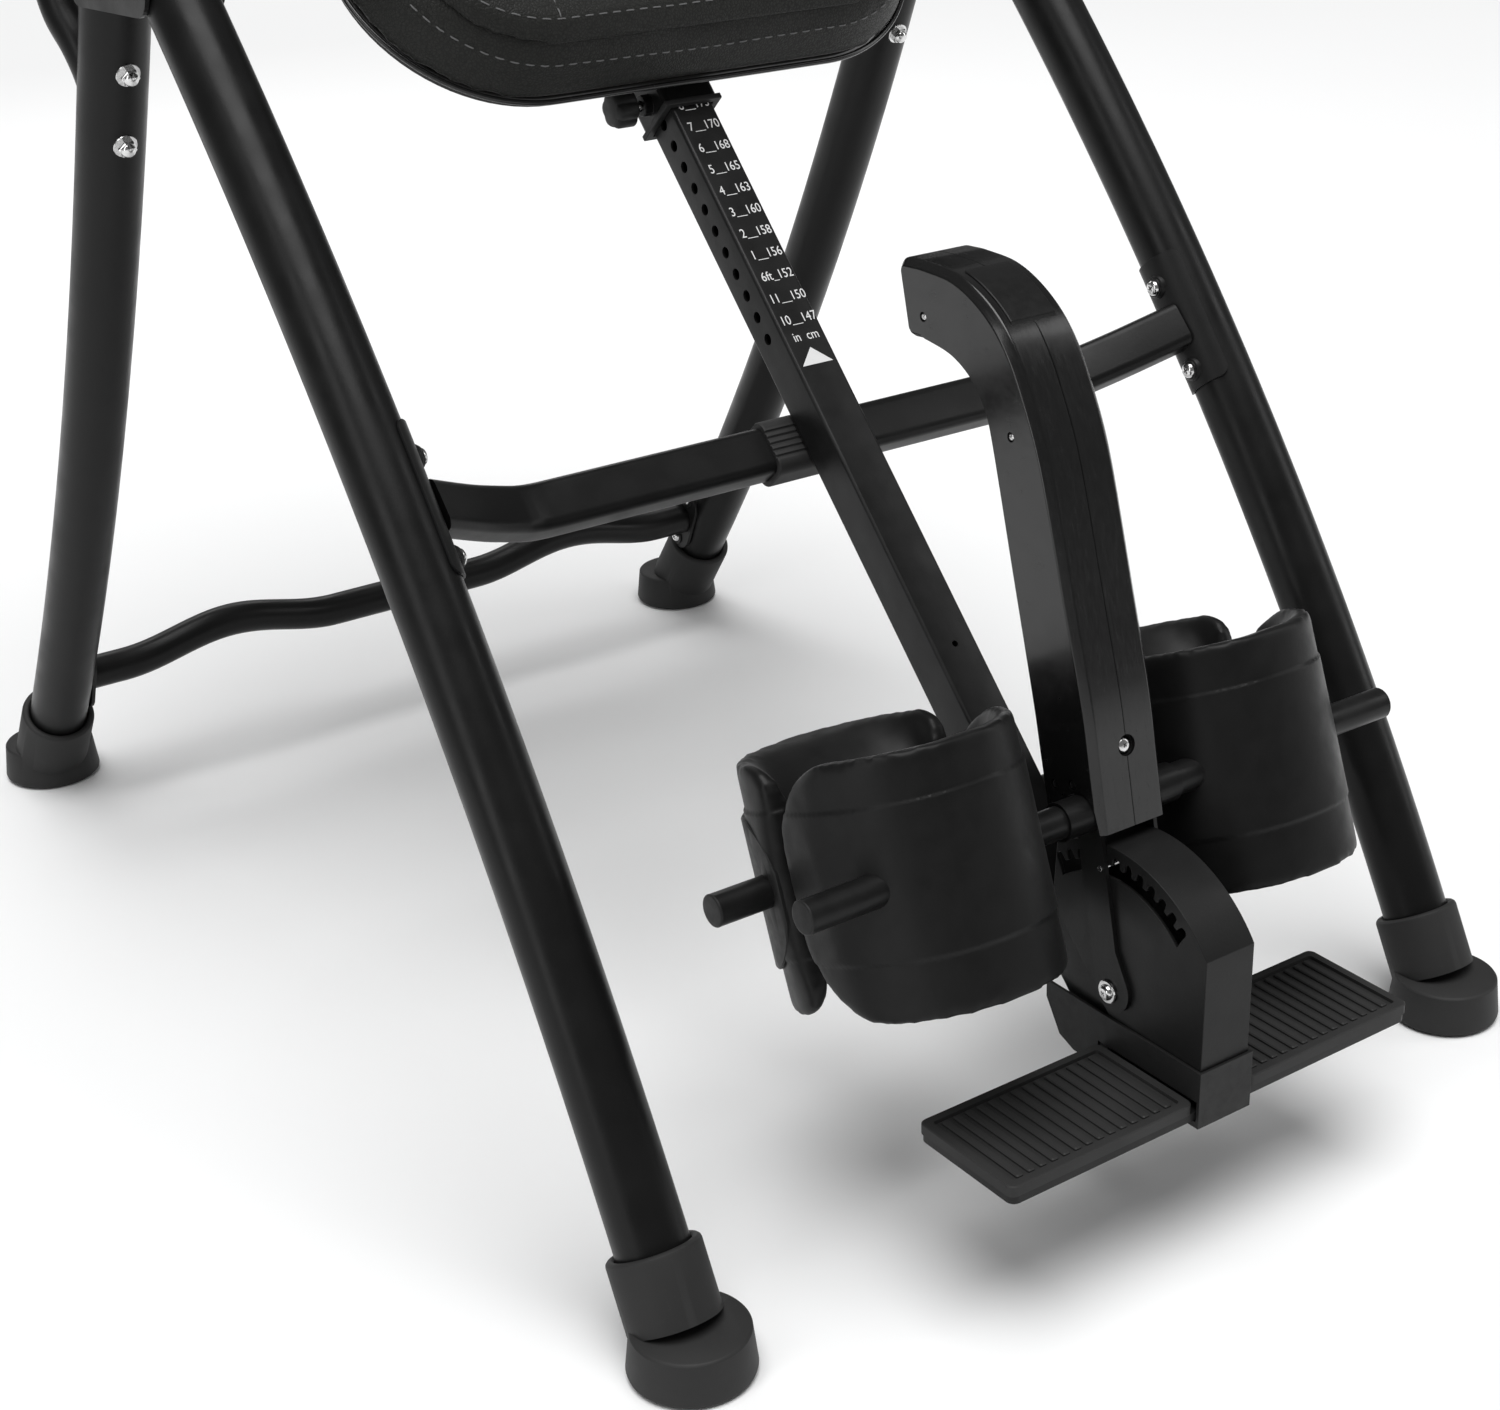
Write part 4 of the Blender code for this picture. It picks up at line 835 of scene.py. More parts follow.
def make_saddles():
    """The crossbar's end plates, wrapped round the legs, with a boss under each bolt."""
    corner = 0.0070
    widest = radians(62)
    (_, upper_z), (_, lower_z) = CROSSBAR_BOLTS
    for side, label in SIDES:
        start = on_front_leg(lower_z, side)
        end = on_front_leg(upper_z, side)
        along = (end - start).normalized()
        low, high = -0.0145, (end - start).length + 0.0200
        inward = Vector((-side, 0, 0))
        around = along.cross(inward).normalized()
        inward = around.cross(along).normalized() * (1 if around.cross(along).dot(inward) > 0 else -1)
        levels = [corner * (1 - cos(pi * i / 12)) for i in range(7)]
        runs = [low + d for d in levels] + [high - d for d in reversed(levels)]
        rings = []
        for t in runs:
            edge = min(t - low, high - t, corner)
            turn = widest - (corner - sqrt(max(corner ** 2 - (corner - edge) ** 2, 0.0))) / LEG_R
            place = on_front_leg(lower_z + (upper_z - lower_z) * t / (end - start).length, side)
            ring = []
            for radius, ways in ((LEG_R + 0.0003, 1), (LEG_R + SADDLE, -1)):
                for i in range(29):
                    angle = ways * turn * (i / 14 - 1)
                    ring.append(place + (inward * cos(angle) + around * sin(angle)) * radius)
            rings.append(ring)
        plate = new_object(f"crossbar_saddle_{label}", skin(rings), PLATE_STEEL, 40)
        finish_piece(plate, "front_frame", (f"crossbar_plate_{label}",), edge=0.0004)
        for i, (_, z) in enumerate(CROSSBAR_BOLTS):
            place = on_front_leg(z, side)
            boss = [(0.0, 0.0090), (0.0024, 0.0086), (0.0032, 0.0082), (0.0038, 0.0074)]
            disc = turned(place + inward * (LEG_R + 0.0001), inward, boss, 48)
            disc = new_object(f"crossbar_boss_{label}_{i}", disc, PLATE_STEEL, 40)
            finish_piece(disc, "front_frame")
            pan_screw(f"crossbar_screw_{label}_{i}", place + inward * (LEG_R + 0.0038), inward, 0.0058,
                      "front_frame", 0.0074)


def bolt_plates():
    for side, label in SIDES:
        inner = side * (LEG_X - LEG_R - GAP - PLATE)
        for i, (y, z) in enumerate(((0.4594, 0.0843), (0.4395, 0.1281))):
            pan_screw(f"rear_crossbar_screw_{label}_{i}", (inner, y, z), (-side, 0, 0), 0.0050,
                      "rear_frame", 0.0075)
        for i, (y, z) in enumerate(((0.1148, 0.6631), (0.1321, 0.6106))):
            here = nearest_on_leg(y, z, side)
            away = Vector((0, y - here.y, z - here.z)).normalized()
            face = here + away * (LEG_R - 0.0003)
            acorn_nut(f"handlebar_nut_{label}_{i}", face, away, 0.0066, "rear_frame", 0.15 + i)


def nearest_on_leg(y, z, side):
    points = leg_axis(FOOT_Y, REAR_BOW, 0.0, 1.0, side * LEG_X, 400)
    return min(points, key=lambda p: (p.y - y) ** 2 + (p.z - z) ** 2)


make_crossbars()
make_bumper()
make_saddles()
bolt_plates()


# Hand rails


def handle_curve(side):
    route = [Vector((side * (LEG_X + 0.004 * min(i, 4)), y, z)) for i, (y, z) in enumerate(HANDLE_ROUTE)]
    return smooth_path(route, 6)


def make_handles():
    for side, label in SIDES:
        stations = path_stations(handle_curve(side))
        rail = new_object(f"handlebar_tube_{label}", sweep(stations, circle(HANDLE_R, 40)), STEEL)
        finish_piece(rail, "rear_frame", (f"handlebar_{label}",))
        stations = stations[GRIP_FROM * 6:]
        last, a, b = stations[-1]
        ahead = (stations[-1][0] - stations[-2][0]).normalized()
        rings = []
        for i, (c, p_axis, q_axis) in enumerate(stations):
            lip = 0.0016 if i in (1, 2) else 0.0
            radius = (HANDLE_R + 0.0006) if i == 0 else GRIP_R - 0.0004 + lip
            rings.append([c + p_axis * p + q_axis * q for p, q in circle(radius, 48)])
        for t, k in ((0.0016, 0.96), (0.0034, 0.86), (0.0046, 0.66), (0.0050, 0.30)):
            rings.append([last + ahead * t + a * p + b * q for p, q in circle(GRIP_R * k, 48)])
        grip = new_object(f"handle_grip_foam_{label}", skin(rings), FOAM, 50)
        finish_piece(grip, "rear_frame", (f"handle_grip_{label}",))


make_handles()


# Height shaft with its printed scale


def make_height_shaft():
    profile = rounded_rect(HEIGHT_W, HEIGHT_H, 0.0026, 6)
    stations = [(on_table(s, 0), ACROSS, ABOVE) for s in (HEIGHT_LOW, HEIGHT_HIGH)]
    shaft = new_object("height_shaft_tube", sweep(stations, profile), STEEL)
    inner = rounded_rect(HEIGHT_W - 0.004, HEIGHT_H - 0.004, 0.0012, 6)
    ends = [(on_table(s, 0), ACROSS, ABOVE) for s in (HEIGHT_LOW - 0.01, HEIGHT_HIGH + 0.01)]
    boolean(shaft, "DIFFERENCE", [sweep(ends, inner)])
    drills = merged([rod_x(table_yz(i * HOLE_PITCH, 0), HOLE_R + 0.0004, -0.030, -0.010, 32)
                     for i in range(-10, 11)])
    boolean(shaft, "DIFFERENCE", [drills])
    small = [turned(on_table(-0.4185, 0.010), ABOVE, ((0.0, 0.0022), (0.01, 0.0022)), 24)]
    boolean(shaft, "DIFFERENCE", small)
    finish_piece(shaft, "height_slider", ("height_shaft",), edge=0.0004)


def text_mesh(words, size, place, right, up, squeeze=0.86):
    """A flat line of generic numerals."""
    curve = bpy.data.curves.new("words", "FONT")
    curve.body = words
    curve.size = size
    curve.align_x = "CENTER"
    curve.resolution_u = 4
    helper = bpy.data.objects.new("words", curve)
    bpy.context.scene.collection.objects.link(helper)
    bpy.context.view_layer.update()
    graph = bpy.context.evaluated_depsgraph_get()
    mesh = bpy.data.meshes.new_from_object(helper.evaluated_get(graph), depsgraph=graph)
    normal = right.cross(up)
    matrix = Matrix((right * squeeze, up, normal)).transposed().to_4x4()
    matrix.translation = place
    mesh.transform(matrix)
    bpy.data.objects.remove(helper)
    bm = bmesh.new()
    bm.from_mesh(mesh)
    bpy.data.meshes.remove(mesh)
    return bm


SCALE_ROWS = ("8__173", "7__170", "6__168", "5__165", "4__163", "3__160", "2__158", "1__156",
              "6ft_152", "11__150", "10__147")
SCALE_TOP = 0.0034
SCALE_SIZE = 0.0098


def make_scale():
    face = HEIGHT_H / 2 + 0.00006
    parts = []
    for i, words in enumerate(SCALE_ROWS):
        place = on_table(SCALE_TOP - i * HOLE_PITCH - 0.0034, face, 0.0016)
        parts.append(text_mesh(words, SCALE_SIZE, place, ACROSS, ALONG))
    place = on_table(SCALE_TOP - 10.78 * HOLE_PITCH - 0.0034, face, 0.0010)
    parts.append(text_mesh("in  cm", SCALE_SIZE, place, ACROSS, ALONG))
    arrow = bmesh.new()
    corners = ((0.0, -0.1920), (0.0125, -0.2047), (-0.0125, -0.2047))
    arrow.faces.new([arrow.verts.new(on_table(s, face, x)) for x, s in corners])
    parts.append(arrow)
    ink = merged(parts)
    lift = bmesh.ops.extrude_face_region(ink, geom=list(ink.faces))
    moved = [v for v in lift["geom"] if isinstance(v, bmesh.types.BMVert)]
    bmesh.ops.translate(ink, verts=moved, vec=ABOVE * 0.00008)
    finish_piece(new_object("printed_height_scale", ink, INK, 30), "height_slider")


make_height_shaft()
make_scale()


# Foot bracket, footplate and rods


def about_pivot(radius, degrees):
    turn = radians(degrees)
    return (ANKLE_PIVOT[0] + radius * cos(turn), ANKLE_PIVOT[1] + radius * sin(turn))


def arm_degrees():
    return atan2(FRONT_ROD[1] - ANKLE_PIVOT[1], FRONT_ROD[0] - ANKLE_PIVOT[0]) * 180 / pi


def bracket_outline(inset):
    radius = BRACKET_R - inset
    front = BRACKET_FRONT + inset
    flat = ANKLE_PIVOT[0] - front
    turn = 180 - atan2(sqrt(radius ** 2 - flat ** 2), flat) * 180 / pi
    points = [(BRACKET_LOW_Y, FOOTPLATE_Z[1] + GAP), (BRACKET_BACK, BRACKET_BACK_LOW)]
    points += [about_pivot(radius, 56 + (turn - 56) * i / 60) for i in range(61)]
    return points + [(front, FOOTPLATE_Z[1] + GAP)]


def slot_outline():
    """An arc slot about the ankle pivot with rounded hooks along its outer edge."""
    inner, tips, notch = SLOT_R
    span = SLOT_STEP * SLOT_NOTCHES
    first = REST_NOTCH - (SLOT_BEFORE + 0.5) * SLOT_STEP
    points = [about_pivot(inner, first + span * (1 - i / 60)) for i in range(61)]
    half = ((0.31, tips), (0.297, tips + 0.0012), (0.280, tips + 0.0034), (0.235, notch - 0.0014),
            (0.150, notch - 0.0004))
    shape = [(0.5 - share, radius) for share, radius in half] + [(0.5, notch)]
    shape += [(0.5 + share, radius) for share, radius in reversed(half)]
    for i in range(SLOT_NOTCHES):
        start = first + i * SLOT_STEP
        points += [about_pivot(radius, start + share * SLOT_STEP) for share, radius in shape]
    return points


def make_bracket():
    half = HEIGHT_W / 2 + GAP
    outer = half + BRACKET_SHEET
    bracket = new_object("foot_bracket_sheet", prism_x(bracket_outline(0.0), -outer, outer), PLATE_STEEL)
    hollow = bracket_outline(BRACKET_SHEET)
    deeper = [(BRACKET_BACK + 0.05, FOOTPLATE_Z[1] - 0.05), (BRACKET_BACK + 0.05, 0.2200)]
    hollow = deeper + [about_pivot(BRACKET_R - BRACKET_SHEET, 56)] + hollow[2:-1]
    hollow += [(BRACKET_FRONT + BRACKET_SHEET, FOOTPLATE_Z[1] - 0.05)]
    boolean(bracket, "DIFFERENCE", [prism_x(hollow, -half, half), prism_x(slot_outline(), -0.05, 0.05),
                                    rod_x(ANKLE_PIVOT, 0.0043, -0.05, 0.05)])
    finish_piece(bracket, "height_slider", ("foot_bracket",), edge=0.0006)


def tread(x_from, x_to):
    """A ribbed pad with a border."""
    low, high = x_from, x_to
    y0, y1 = FOOTPLATE_Y[0] + 0.0006, FOOTPLATE_Y[1] - 0.0006
    top = FOOTPLATE_Z[1]
    width, depth = high - low, y1 - y0
    centre = Vector(((low + high) / 2, (y0 + y1) / 2, 0))
    parts = []
    levels = ((0.0, 0.0052, 0.1062), (0.0, 0.0052, top - 0.0008), (0.0008, 0.0046, top),
              (0.0062, 0.0022, top),
              (0.0066, 0.0020, top - 0.0022))
    rings = []
    for inset, corner, z in levels:
        outline = rounded_rect(width - 2 * inset, depth - 2 * inset, corner, 5)
        rings.append([centre + Vector((p, q, z)) for p, q in outline])
    parts.append(skin(rings))
    count = 14
    field = width - 2 * 0.0090
    pitch = field / count
    for i in range(count):
        x = low + 0.0090 + pitch * (i + 0.5)
        rib = []
        for inset, z in ((0.0, top - 0.0026), (0.0, top - 0.0010), (0.0007, top - 0.0003)):
            outline = rounded_rect(pitch * 0.56 - 2 * inset, depth - 0.0164 - 2 * inset, 0.0012, 3)
            rib.append([Vector((x + p, centre.y + q, z)) for p, q in outline])
        parts.append(skin(rib))
    return parts


def make_footplate():
    gap_x = HEIGHT_W / 2 + GAP + BRACKET_SHEET + 0.0032
    parts = tread(-FOOTPLATE_HALF, -gap_x) + tread(gap_x, FOOTPLATE_HALF)
    treads = new_object("footplate_treads", merged(parts), RUBBER, 30)
    finish_piece(treads, "height_slider", ("footplate",))
    centre = Vector((0, (FOOTPLATE_Y[0] + FOOTPLATE_Y[1]) / 2, 0))
    rings = []
    low = FOOTPLATE_Z[0]
    depth = FOOTPLATE_Y[1] - FOOTPLATE_Y[0]
    for inset, z in ((0.0020, low), (0.0010, low + 0.0008), (0.0010, 0.1064), (0.0040, 0.1070)):
        outline = rounded_rect(2 * (FOOTPLATE_HALF - inset), depth - 2 * inset, 0.0055, 5)
        rings.append([centre + Vector((p, q, z)) for p, q in outline])
    base = new_object("footplate_base", skin(rings), PLATE_STEEL, 30)
    finish_piece(base, "height_slider")


def make_rods():
    rear = table_yz(REAR_ROD_S, 0)
    for name, place, body in (("rear_rod", rear, "height_slider"), ("front_rod", FRONT_ROD, "ankle_clamp")):
        rod = new_object(name + "_tube", rod_x(place, ROD_R, -ROD_HALF, ROD_HALF, 48), STEEL)
        finish_piece(rod, body, (name,))
        for side, label in SIDES:
            end = side * (ROD_HALF + 0.0015)
            radius = ROD_R + 0.0001
            profile = [(-0.0040, radius - 0.0012), (-0.0014, radius - 0.0004), (-0.0013, radius),
                       (-0.0009, radius),
                       (-0.0004, radius - 0.0003), (-0.0001, radius - 0.0009), (0.0, radius - 0.0016)]
            cap = turned((end, *place), (side, 0, 0), profile, 48)
            cap = new_object(f"{name}_cap_{label}", cap, MATTE, 40)
            finish_piece(cap, body)


make_bracket()
make_footplate()
make_rods()


# Ankle clamp


def make_yoke():
    yoke = new_object("ankle_yoke_weldment", rod_x(FRONT_ROD, HUB_R, -HUB_HALF, HUB_HALF, 56), STEEL)
    near = HEIGHT_W / 2 + GAP + BRACKET_SHEET + GAP
    bar = hull_of_circles(((ANKLE_PIVOT, ARM_HALF), (FRONT_ROD, ARM_HALF)))
    lobe = hull_of_circles(((ARM_LOBE, ARM_LOBE_R), (about_pivot(0.030, arm_degrees()), ARM_HALF - 0.001)))
    arms = [prism_x(outline, side * near, side * (near + ARM_SHEET))
            for side, _ in SIDES for outline in (bar, lobe)]
    lean = Vector((0, 0.0369, 0.1223)).normalized()
    foot = Vector((0, *FRONT_ROD)) + lean * 0.006
    out = Vector((0, -lean.z, lean.y))
    post = [(foot + lean * z, ACROSS, out) for z in (0.0, STUB)]
    boolean(yoke, "UNION", arms + [sweep(post, rounded_rect(0.022, 0.020, 0.003, 4))])
    finish_piece(yoke, "ankle_clamp", ("ankle_yoke",), edge=0.0006)


def make_pivot_bolt():
    inner = HEIGHT_W / 2 + GAP + BRACKET_SHEET + GAP
    reach = inner + ARM_SHEET + GAP
    shank = rod_x(ANKLE_PIVOT, 0.0040, -reach - 0.002, reach + 0.002, 32)
    shank = new_object("ankle_pivot_shank", shank, CHROME)
    finish_piece(shank, "ankle_swing", ("ankle_pivot_bolt",))
    for side, label in SIDES:
        flange = [(0.0, 0.0078), (0.0010, 0.0078), (0.0015, 0.0072), (0.0016, 0.0040)]
        disc = turned((side * reach, *ANKLE_PIVOT), (side, 0, 0), flange, 48)
        disc = new_object(f"ankle_pivot_flange_{label}", disc, CHROME, 30)
        finish_piece(disc, "ankle_swing")
        pan_screw(f"ankle_pivot_head_{label}", (side * (reach + 0.0013), *ANKLE_PIVOT), (side, 0, 0), 0.0054,
                  "ankle_swing")


LEVER_FRONT = [(-0.5259, 0.2618), (-0.5175, 0.3005), (-0.5089, 0.3399), (-0.4907, 0.4010), (-0.4725, 0.4620),
               (-0.4620, 0.4920), (-0.4500, 0.5170), (-0.4370, 0.5395), (-0.4204, 0.5585), (-0.4000, 0.5720),
               (-0.3771, 0.5800), (-0.3500, 0.5815), (-0.3400, 0.5812)]
LEVER_NOSE = (((-0.3212, 0.5800), 0.0085), ((-0.3325, 0.5316), 0.0070))
LEVER_UNDER = [(-0.3480, 0.5328), (-0.3560, 0.5325), (-0.3780, 0.5285), (-0.3960, 0.5185), (-0.4080, 0.5040),
               (-0.4160, 0.4840), (-0.4372, 0.4070), (-0.4584, 0.3300), (-0.4667, 0.2959), (-0.4750, 0.2618)]


def rounded_corner(before, corner, after, radius, steps=8):
    """Points along an arc that replaces a corner."""
    corner = Vector(corner)
    into = (Vector(before) - corner).normalized()
    out = (Vector(after) - corner).normalized()
    half = into.angle(out) / 2
    centre = corner + (into + out).normalized() * radius / sin(half)
    start = corner + into * radius / tan(half) - centre
    end = corner + out * radius / tan(half) - centre
    total = start.angle_signed(end)
    return [tuple(centre + Matrix.Rotation(-total * i / steps, 2) @ start) for i in range(steps + 1)]


def lever_side():
    """Side view of the lever, from the bottom of its front over the top to the bottom of the other side."""
    front = smooth_outline(LEVER_FRONT, 6)
    under = smooth_outline(LEVER_UNDER, 6)
    (upper, upper_r), (lower, lower_r) = LEVER_NOSE
    nose = rounded_corner(front[-1], upper, lower, upper_r) + rounded_corner(upper, lower, under[0], lower_r)
    return front + nose + under, len(front) + len(nose)


def lever_outline(inset, rear_share=1.0):
    """The side view moved inwards by inset, or by a share of it along the side towards the user."""
    points, rear_side = lever_side()
    moved = []
    count = len(points)
    for i, (y, z) in enumerate(points):
        after = points[min(i + 1, count - 1)]
        before = points[max(i - 1, 0)]
        normal = Vector((after[1] - before[1], before[0] - after[0])).normalized()
        share = min(max((i - rear_side + 4) / 8, 0.0), 1.0)
        place = Vector((y, z)) + normal * inset * (1 + (rear_share - 1) * share)
        moved.append((place.x, place.y))
    return moved


def lever_hollow():
    front = [(y + 0.0052, z - 0.0016) for y, z in LEVER_FRONT[:9]] + [(-0.3740, 0.5742), (-0.3520, 0.5755)]
    under = [(-0.3530, 0.5385)] + [(y - 0.0040, z + 0.0045) for y, z in LEVER_UNDER[2:4]]
    under += [(y - 0.0048, z + 0.0016) for y, z in LEVER_UNDER[4:]]
    low = (front[0][0] - 0.0044, 0.2500)
    return [low] + front + under + [(-0.4810, 0.2500)]


def lever_axis():
    lean = Vector((0, 0.0369, 0.1223)).normalized()
    return lean, Vector((0, -lean.z, lean.y))


LEVER_SCREWS = ((-0.3503, 0.5480), (-0.4345, 0.4930), (-0.4816, 0.2810), (-0.4974, 0.2863))
LEVER_BOLT = (-0.5139, 0.3116)


def make_lever():
    lean, out = lever_axis()
    facing = -out if out.y > 0 else out
    for side, label in SIDES:
        rings = []
        edge = LEVER_HALF - LEVER_CHAMFER
        for x, inset in ((GAP / 2, 0.0003), (GAP / 2 + 0.0004, 0.0), (edge - 0.0008, 0.0), (edge, 0.00010),
                         (edge + 0.0007, 0.00055), (LEVER_HALF - 0.0008, LEVER_CHAMFER - 0.0010),
                         (LEVER_HALF - 0.0003, LEVER_CHAMFER - 0.0003), (LEVER_HALF, LEVER_CHAMFER + 0.0004)):
            rings.append([Vector((side * x, y, z)) for y, z in lever_outline(inset, 0.3)])
        cover = new_object(f"lever_shell_{label}", skin(rings), GLOSS, 28)
        hollow = prism_x(lever_hollow(), -side * 0.01, side * (LEVER_HALF - LEVER_WALL))
        hub = Vector((0, *FRONT_ROD))
        reach = HUB_R + 0.0008
        notch = [hub + lean * a + out * b
                 for a, b in ((0.0, reach), (-0.06, reach), (-0.06, -reach), (0.0, -reach))]
        cutters = [hollow, prism_x([(p.y, p.z) for p in notch], -side * 0.01, side * 0.05),
                   rod_x(FRONT_ROD, reach, -side * 0.01, side * 0.05, 48),
                   box(tuple(sorted((-side * 0.01, side * 0.0236))), (-0.52, -0.44), (0.20, 0.2700))]
        boolean(cover, "DIFFERENCE", cutters, 28)
        screw_hole = ((0.0, 0.0030), (0.004, 0.0034))
        holes = [turned((side * (LEVER_HALF - 0.0016), y, z), (side, 0, 0), screw_hole, 32)
                 for y, z in LEVER_SCREWS]
        bolt_hole = ((0.0, 0.0068), (0.012, 0.0068))
        holes.append(turned(Vector((0, *LEVER_BOLT)) - facing * 0.0050, facing, bolt_hole, 40))
        boolean(cover, "DIFFERENCE", holes, 28)
        flat = cover.modifiers.new("flat_faces", "WEIGHTED_NORMAL")
        flat.keep_sharp = True
        finish_piece(cover, "ankle_clamp", (f"lever_cover_{label}",))
        for i, (y, z) in enumerate(LEVER_SCREWS):
            pan_screw(f"lever_screw_{label}_{i}", (side * (LEVER_HALF - 0.0017), y, z), (side, 0, 0), 0.0025,
                      "ankle_clamp", look=CHROME if i < 2 else STEEL)
    cup = [(-0.0046, 0.0067), (-0.0010, 0.0067), (-0.0008, 0.0062), (-0.0042, 0.0058)]
    seat = new_object("lever_bolt_seat", turned((0, *LEVER_BOLT), facing, cup, 40), MATTE, 30)
    finish_piece(seat, "ankle_clamp")
    pan_screw("lever_seam_bolt", Vector((0, *LEVER_BOLT)) - facing * 0.0030, facing, 0.0052, "ankle_clamp")


def make_lever_pad():
    """The thin inlay on the crown of the lever."""
    half = 0.0174
    start, end, lowest = -0.4235, -0.3760, 0.553
    rings = []
    for lift, inset in ((-0.0006, 0.0), (0.0006, 0.0), (0.0010, 0.0006)):
        run = [(y, z) for y, z in lever_outline(-lift) if start + inset <= y <= end - inset and z > lowest]
        rings.append((run, half - inset))
    bm = bmesh.new()
    count = min(len(run) for run, _ in rings)
    shells = []
    for run, reach in rings:
        left = [bm.verts.new((-reach, y, z)) for y, z in run[:count]]
        right = [bm.verts.new((reach, y, z)) for y, z in run[:count]]
        shells.append((left, right))
    for (la, ra), (lb, rb) in zip(shells, shells[1:]):
        for low, high in ((la, lb), (ra, rb)):
            for i in range(count - 1):
                bm.faces.new((low[i], low[i + 1], high[i + 1], high[i]))
        for i in (0, count - 1):
            bm.faces.new((la[i], ra[i], rb[i], lb[i]))
    for left, right in (shells[0], shells[-1]):
        for i in range(count - 1):
            bm.faces.new((left[i], right[i], right[i + 1], left[i + 1]))
    pad = new_object("lever_crown_inlay", bm, INLAY, 30)
    finish_piece(pad, "ankle_clamp")


make_yoke()
make_pivot_bolt()
make_lever()
make_lever_pad()


# Soft pieces


def cuff_frame(place, facing):
    up = Vector((0, sin(CUFF_TILT), cos(CUFF_TILT)))
    out = Vector((0, facing * cos(CUFF_TILT), -facing * sin(CUFF_TILT)))
    return Vector((0, *place)), up, out


def rounded_half(half, top, round_x, round_y, back, steps):
    """One side of a section with an elliptical corner, from its open back up to its middle."""
    centre_x, centre_y = half - round_x, top - round_y
    first = asin(min(max((back - centre_y) / round_y, 0.0), 0.98))
    points = [(centre_x + round_x * cos(first), back)]
    for i in range(1, steps + 1):
        turn = first + (pi / 2 - first) * i / steps
        points.append((centre_x + round_x * cos(turn), centre_y + round_y * sin(turn)))
    return points


def cuff_ring(shape, h, layer):
    """The cuff's section at height h, as (across, outwards). The hollow opens out towards both ends."""
    edge = min(h - CUFF_HEIGHT[0], CUFF_HEIGHT[1] - h, shape["end_r"])
    drawn = shape["end_r"] - sqrt(max(shape["end_r"] ** 2 - (shape["end_r"] - edge) ** 2, 0))
    back = -shape["reach"] + drawn
    half = CUFF_HALF + layer
    top = shape["outer"] + layer
    round_x, round_y = shape["round"]
    flare = abs(2 * (h - CUFF_HEIGHT[0]) / (CUFF_HEIGHT[1] - CUFF_HEIGHT[0]) - 1) ** 2.6
    bore_half = CUFF_HALF - CUFF_WALL + (CUFF_WALL - CUFF_RIM) * flare
    deepest = shape["inner"] + (shape["outer"] - CUFF_RIM * 1.2 - shape["inner"]) * flare
    deepest = max(deepest, back + 0.004)
    low = min(top - round_y, deepest - 0.012)
    outline = rounded_half(half, top, round_x, round_y, back, 22)
    bore = rounded_half(bore_half, deepest, bore_half * round_x / half, deepest - low, back, 14)
    outline += [(-x, b) for x, b in reversed(outline)]
    bore += [(-x, b) for x, b in reversed(bore)]
    return outline + list(reversed(bore))


def inflate(obj, voxel, pressure, cap, frames=20, held=None):
    """Remeshes a closed pad, swells it with cloth pressure and keeps each point near where it was."""
    remesh = obj.modifiers.new("even", "REMESH")
    remesh.mode = "VOXEL"
    remesh.voxel_size = voxel
    relax = obj.modifiers.new("relax", "SMOOTH")
    relax.factor = 0.5
    relax.iterations = 6
    apply_modifiers(obj)
    before = np.array([v.co for v in obj.data.vertices], float)
    cloth = obj.modifiers.new("cloth", "CLOTH")
    cloth.settings.quality = 4
    cloth.settings.mass = 0.3
    cloth.settings.tension_stiffness = 12
    cloth.settings.compression_stiffness = 12
    cloth.settings.bending_stiffness = 2
    cloth.settings.use_pressure = True
    cloth.settings.uniform_pressure_force = pressure
    cloth.settings.effector_weights.gravity = 0.0
    cloth.collision_settings.use_collision = False
    scene = bpy.context.scene
    for i in range(1, frames + 1):
        scene.frame_set(i)
    apply_modifiers(obj)
    scene.frame_set(1)
    after = np.array([v.co for v in obj.data.vertices], float)
    move = after - before
    length = np.linalg.norm(move, axis=1)
    share = np.minimum(1.0, cap / np.maximum(length, 1e-9))
    if held:
        share = share * np.array([held(Vector(p)) for p in before])
    obj.data.vertices.foreach_set("co", (before + move * share[:, None]).ravel())
    obj.data.update()
    settle = obj.modifiers.new("settle", "SMOOTH")
    settle.factor = 0.5
    settle.iterations = 4
    apply_modifiers(obj)
    fine = obj.modifiers.new("fine", "SUBSURF")
    fine.levels = 1
    fine.render_levels = 1
    apply_modifiers(obj)
    obj.data.shade_smooth()
    return obj


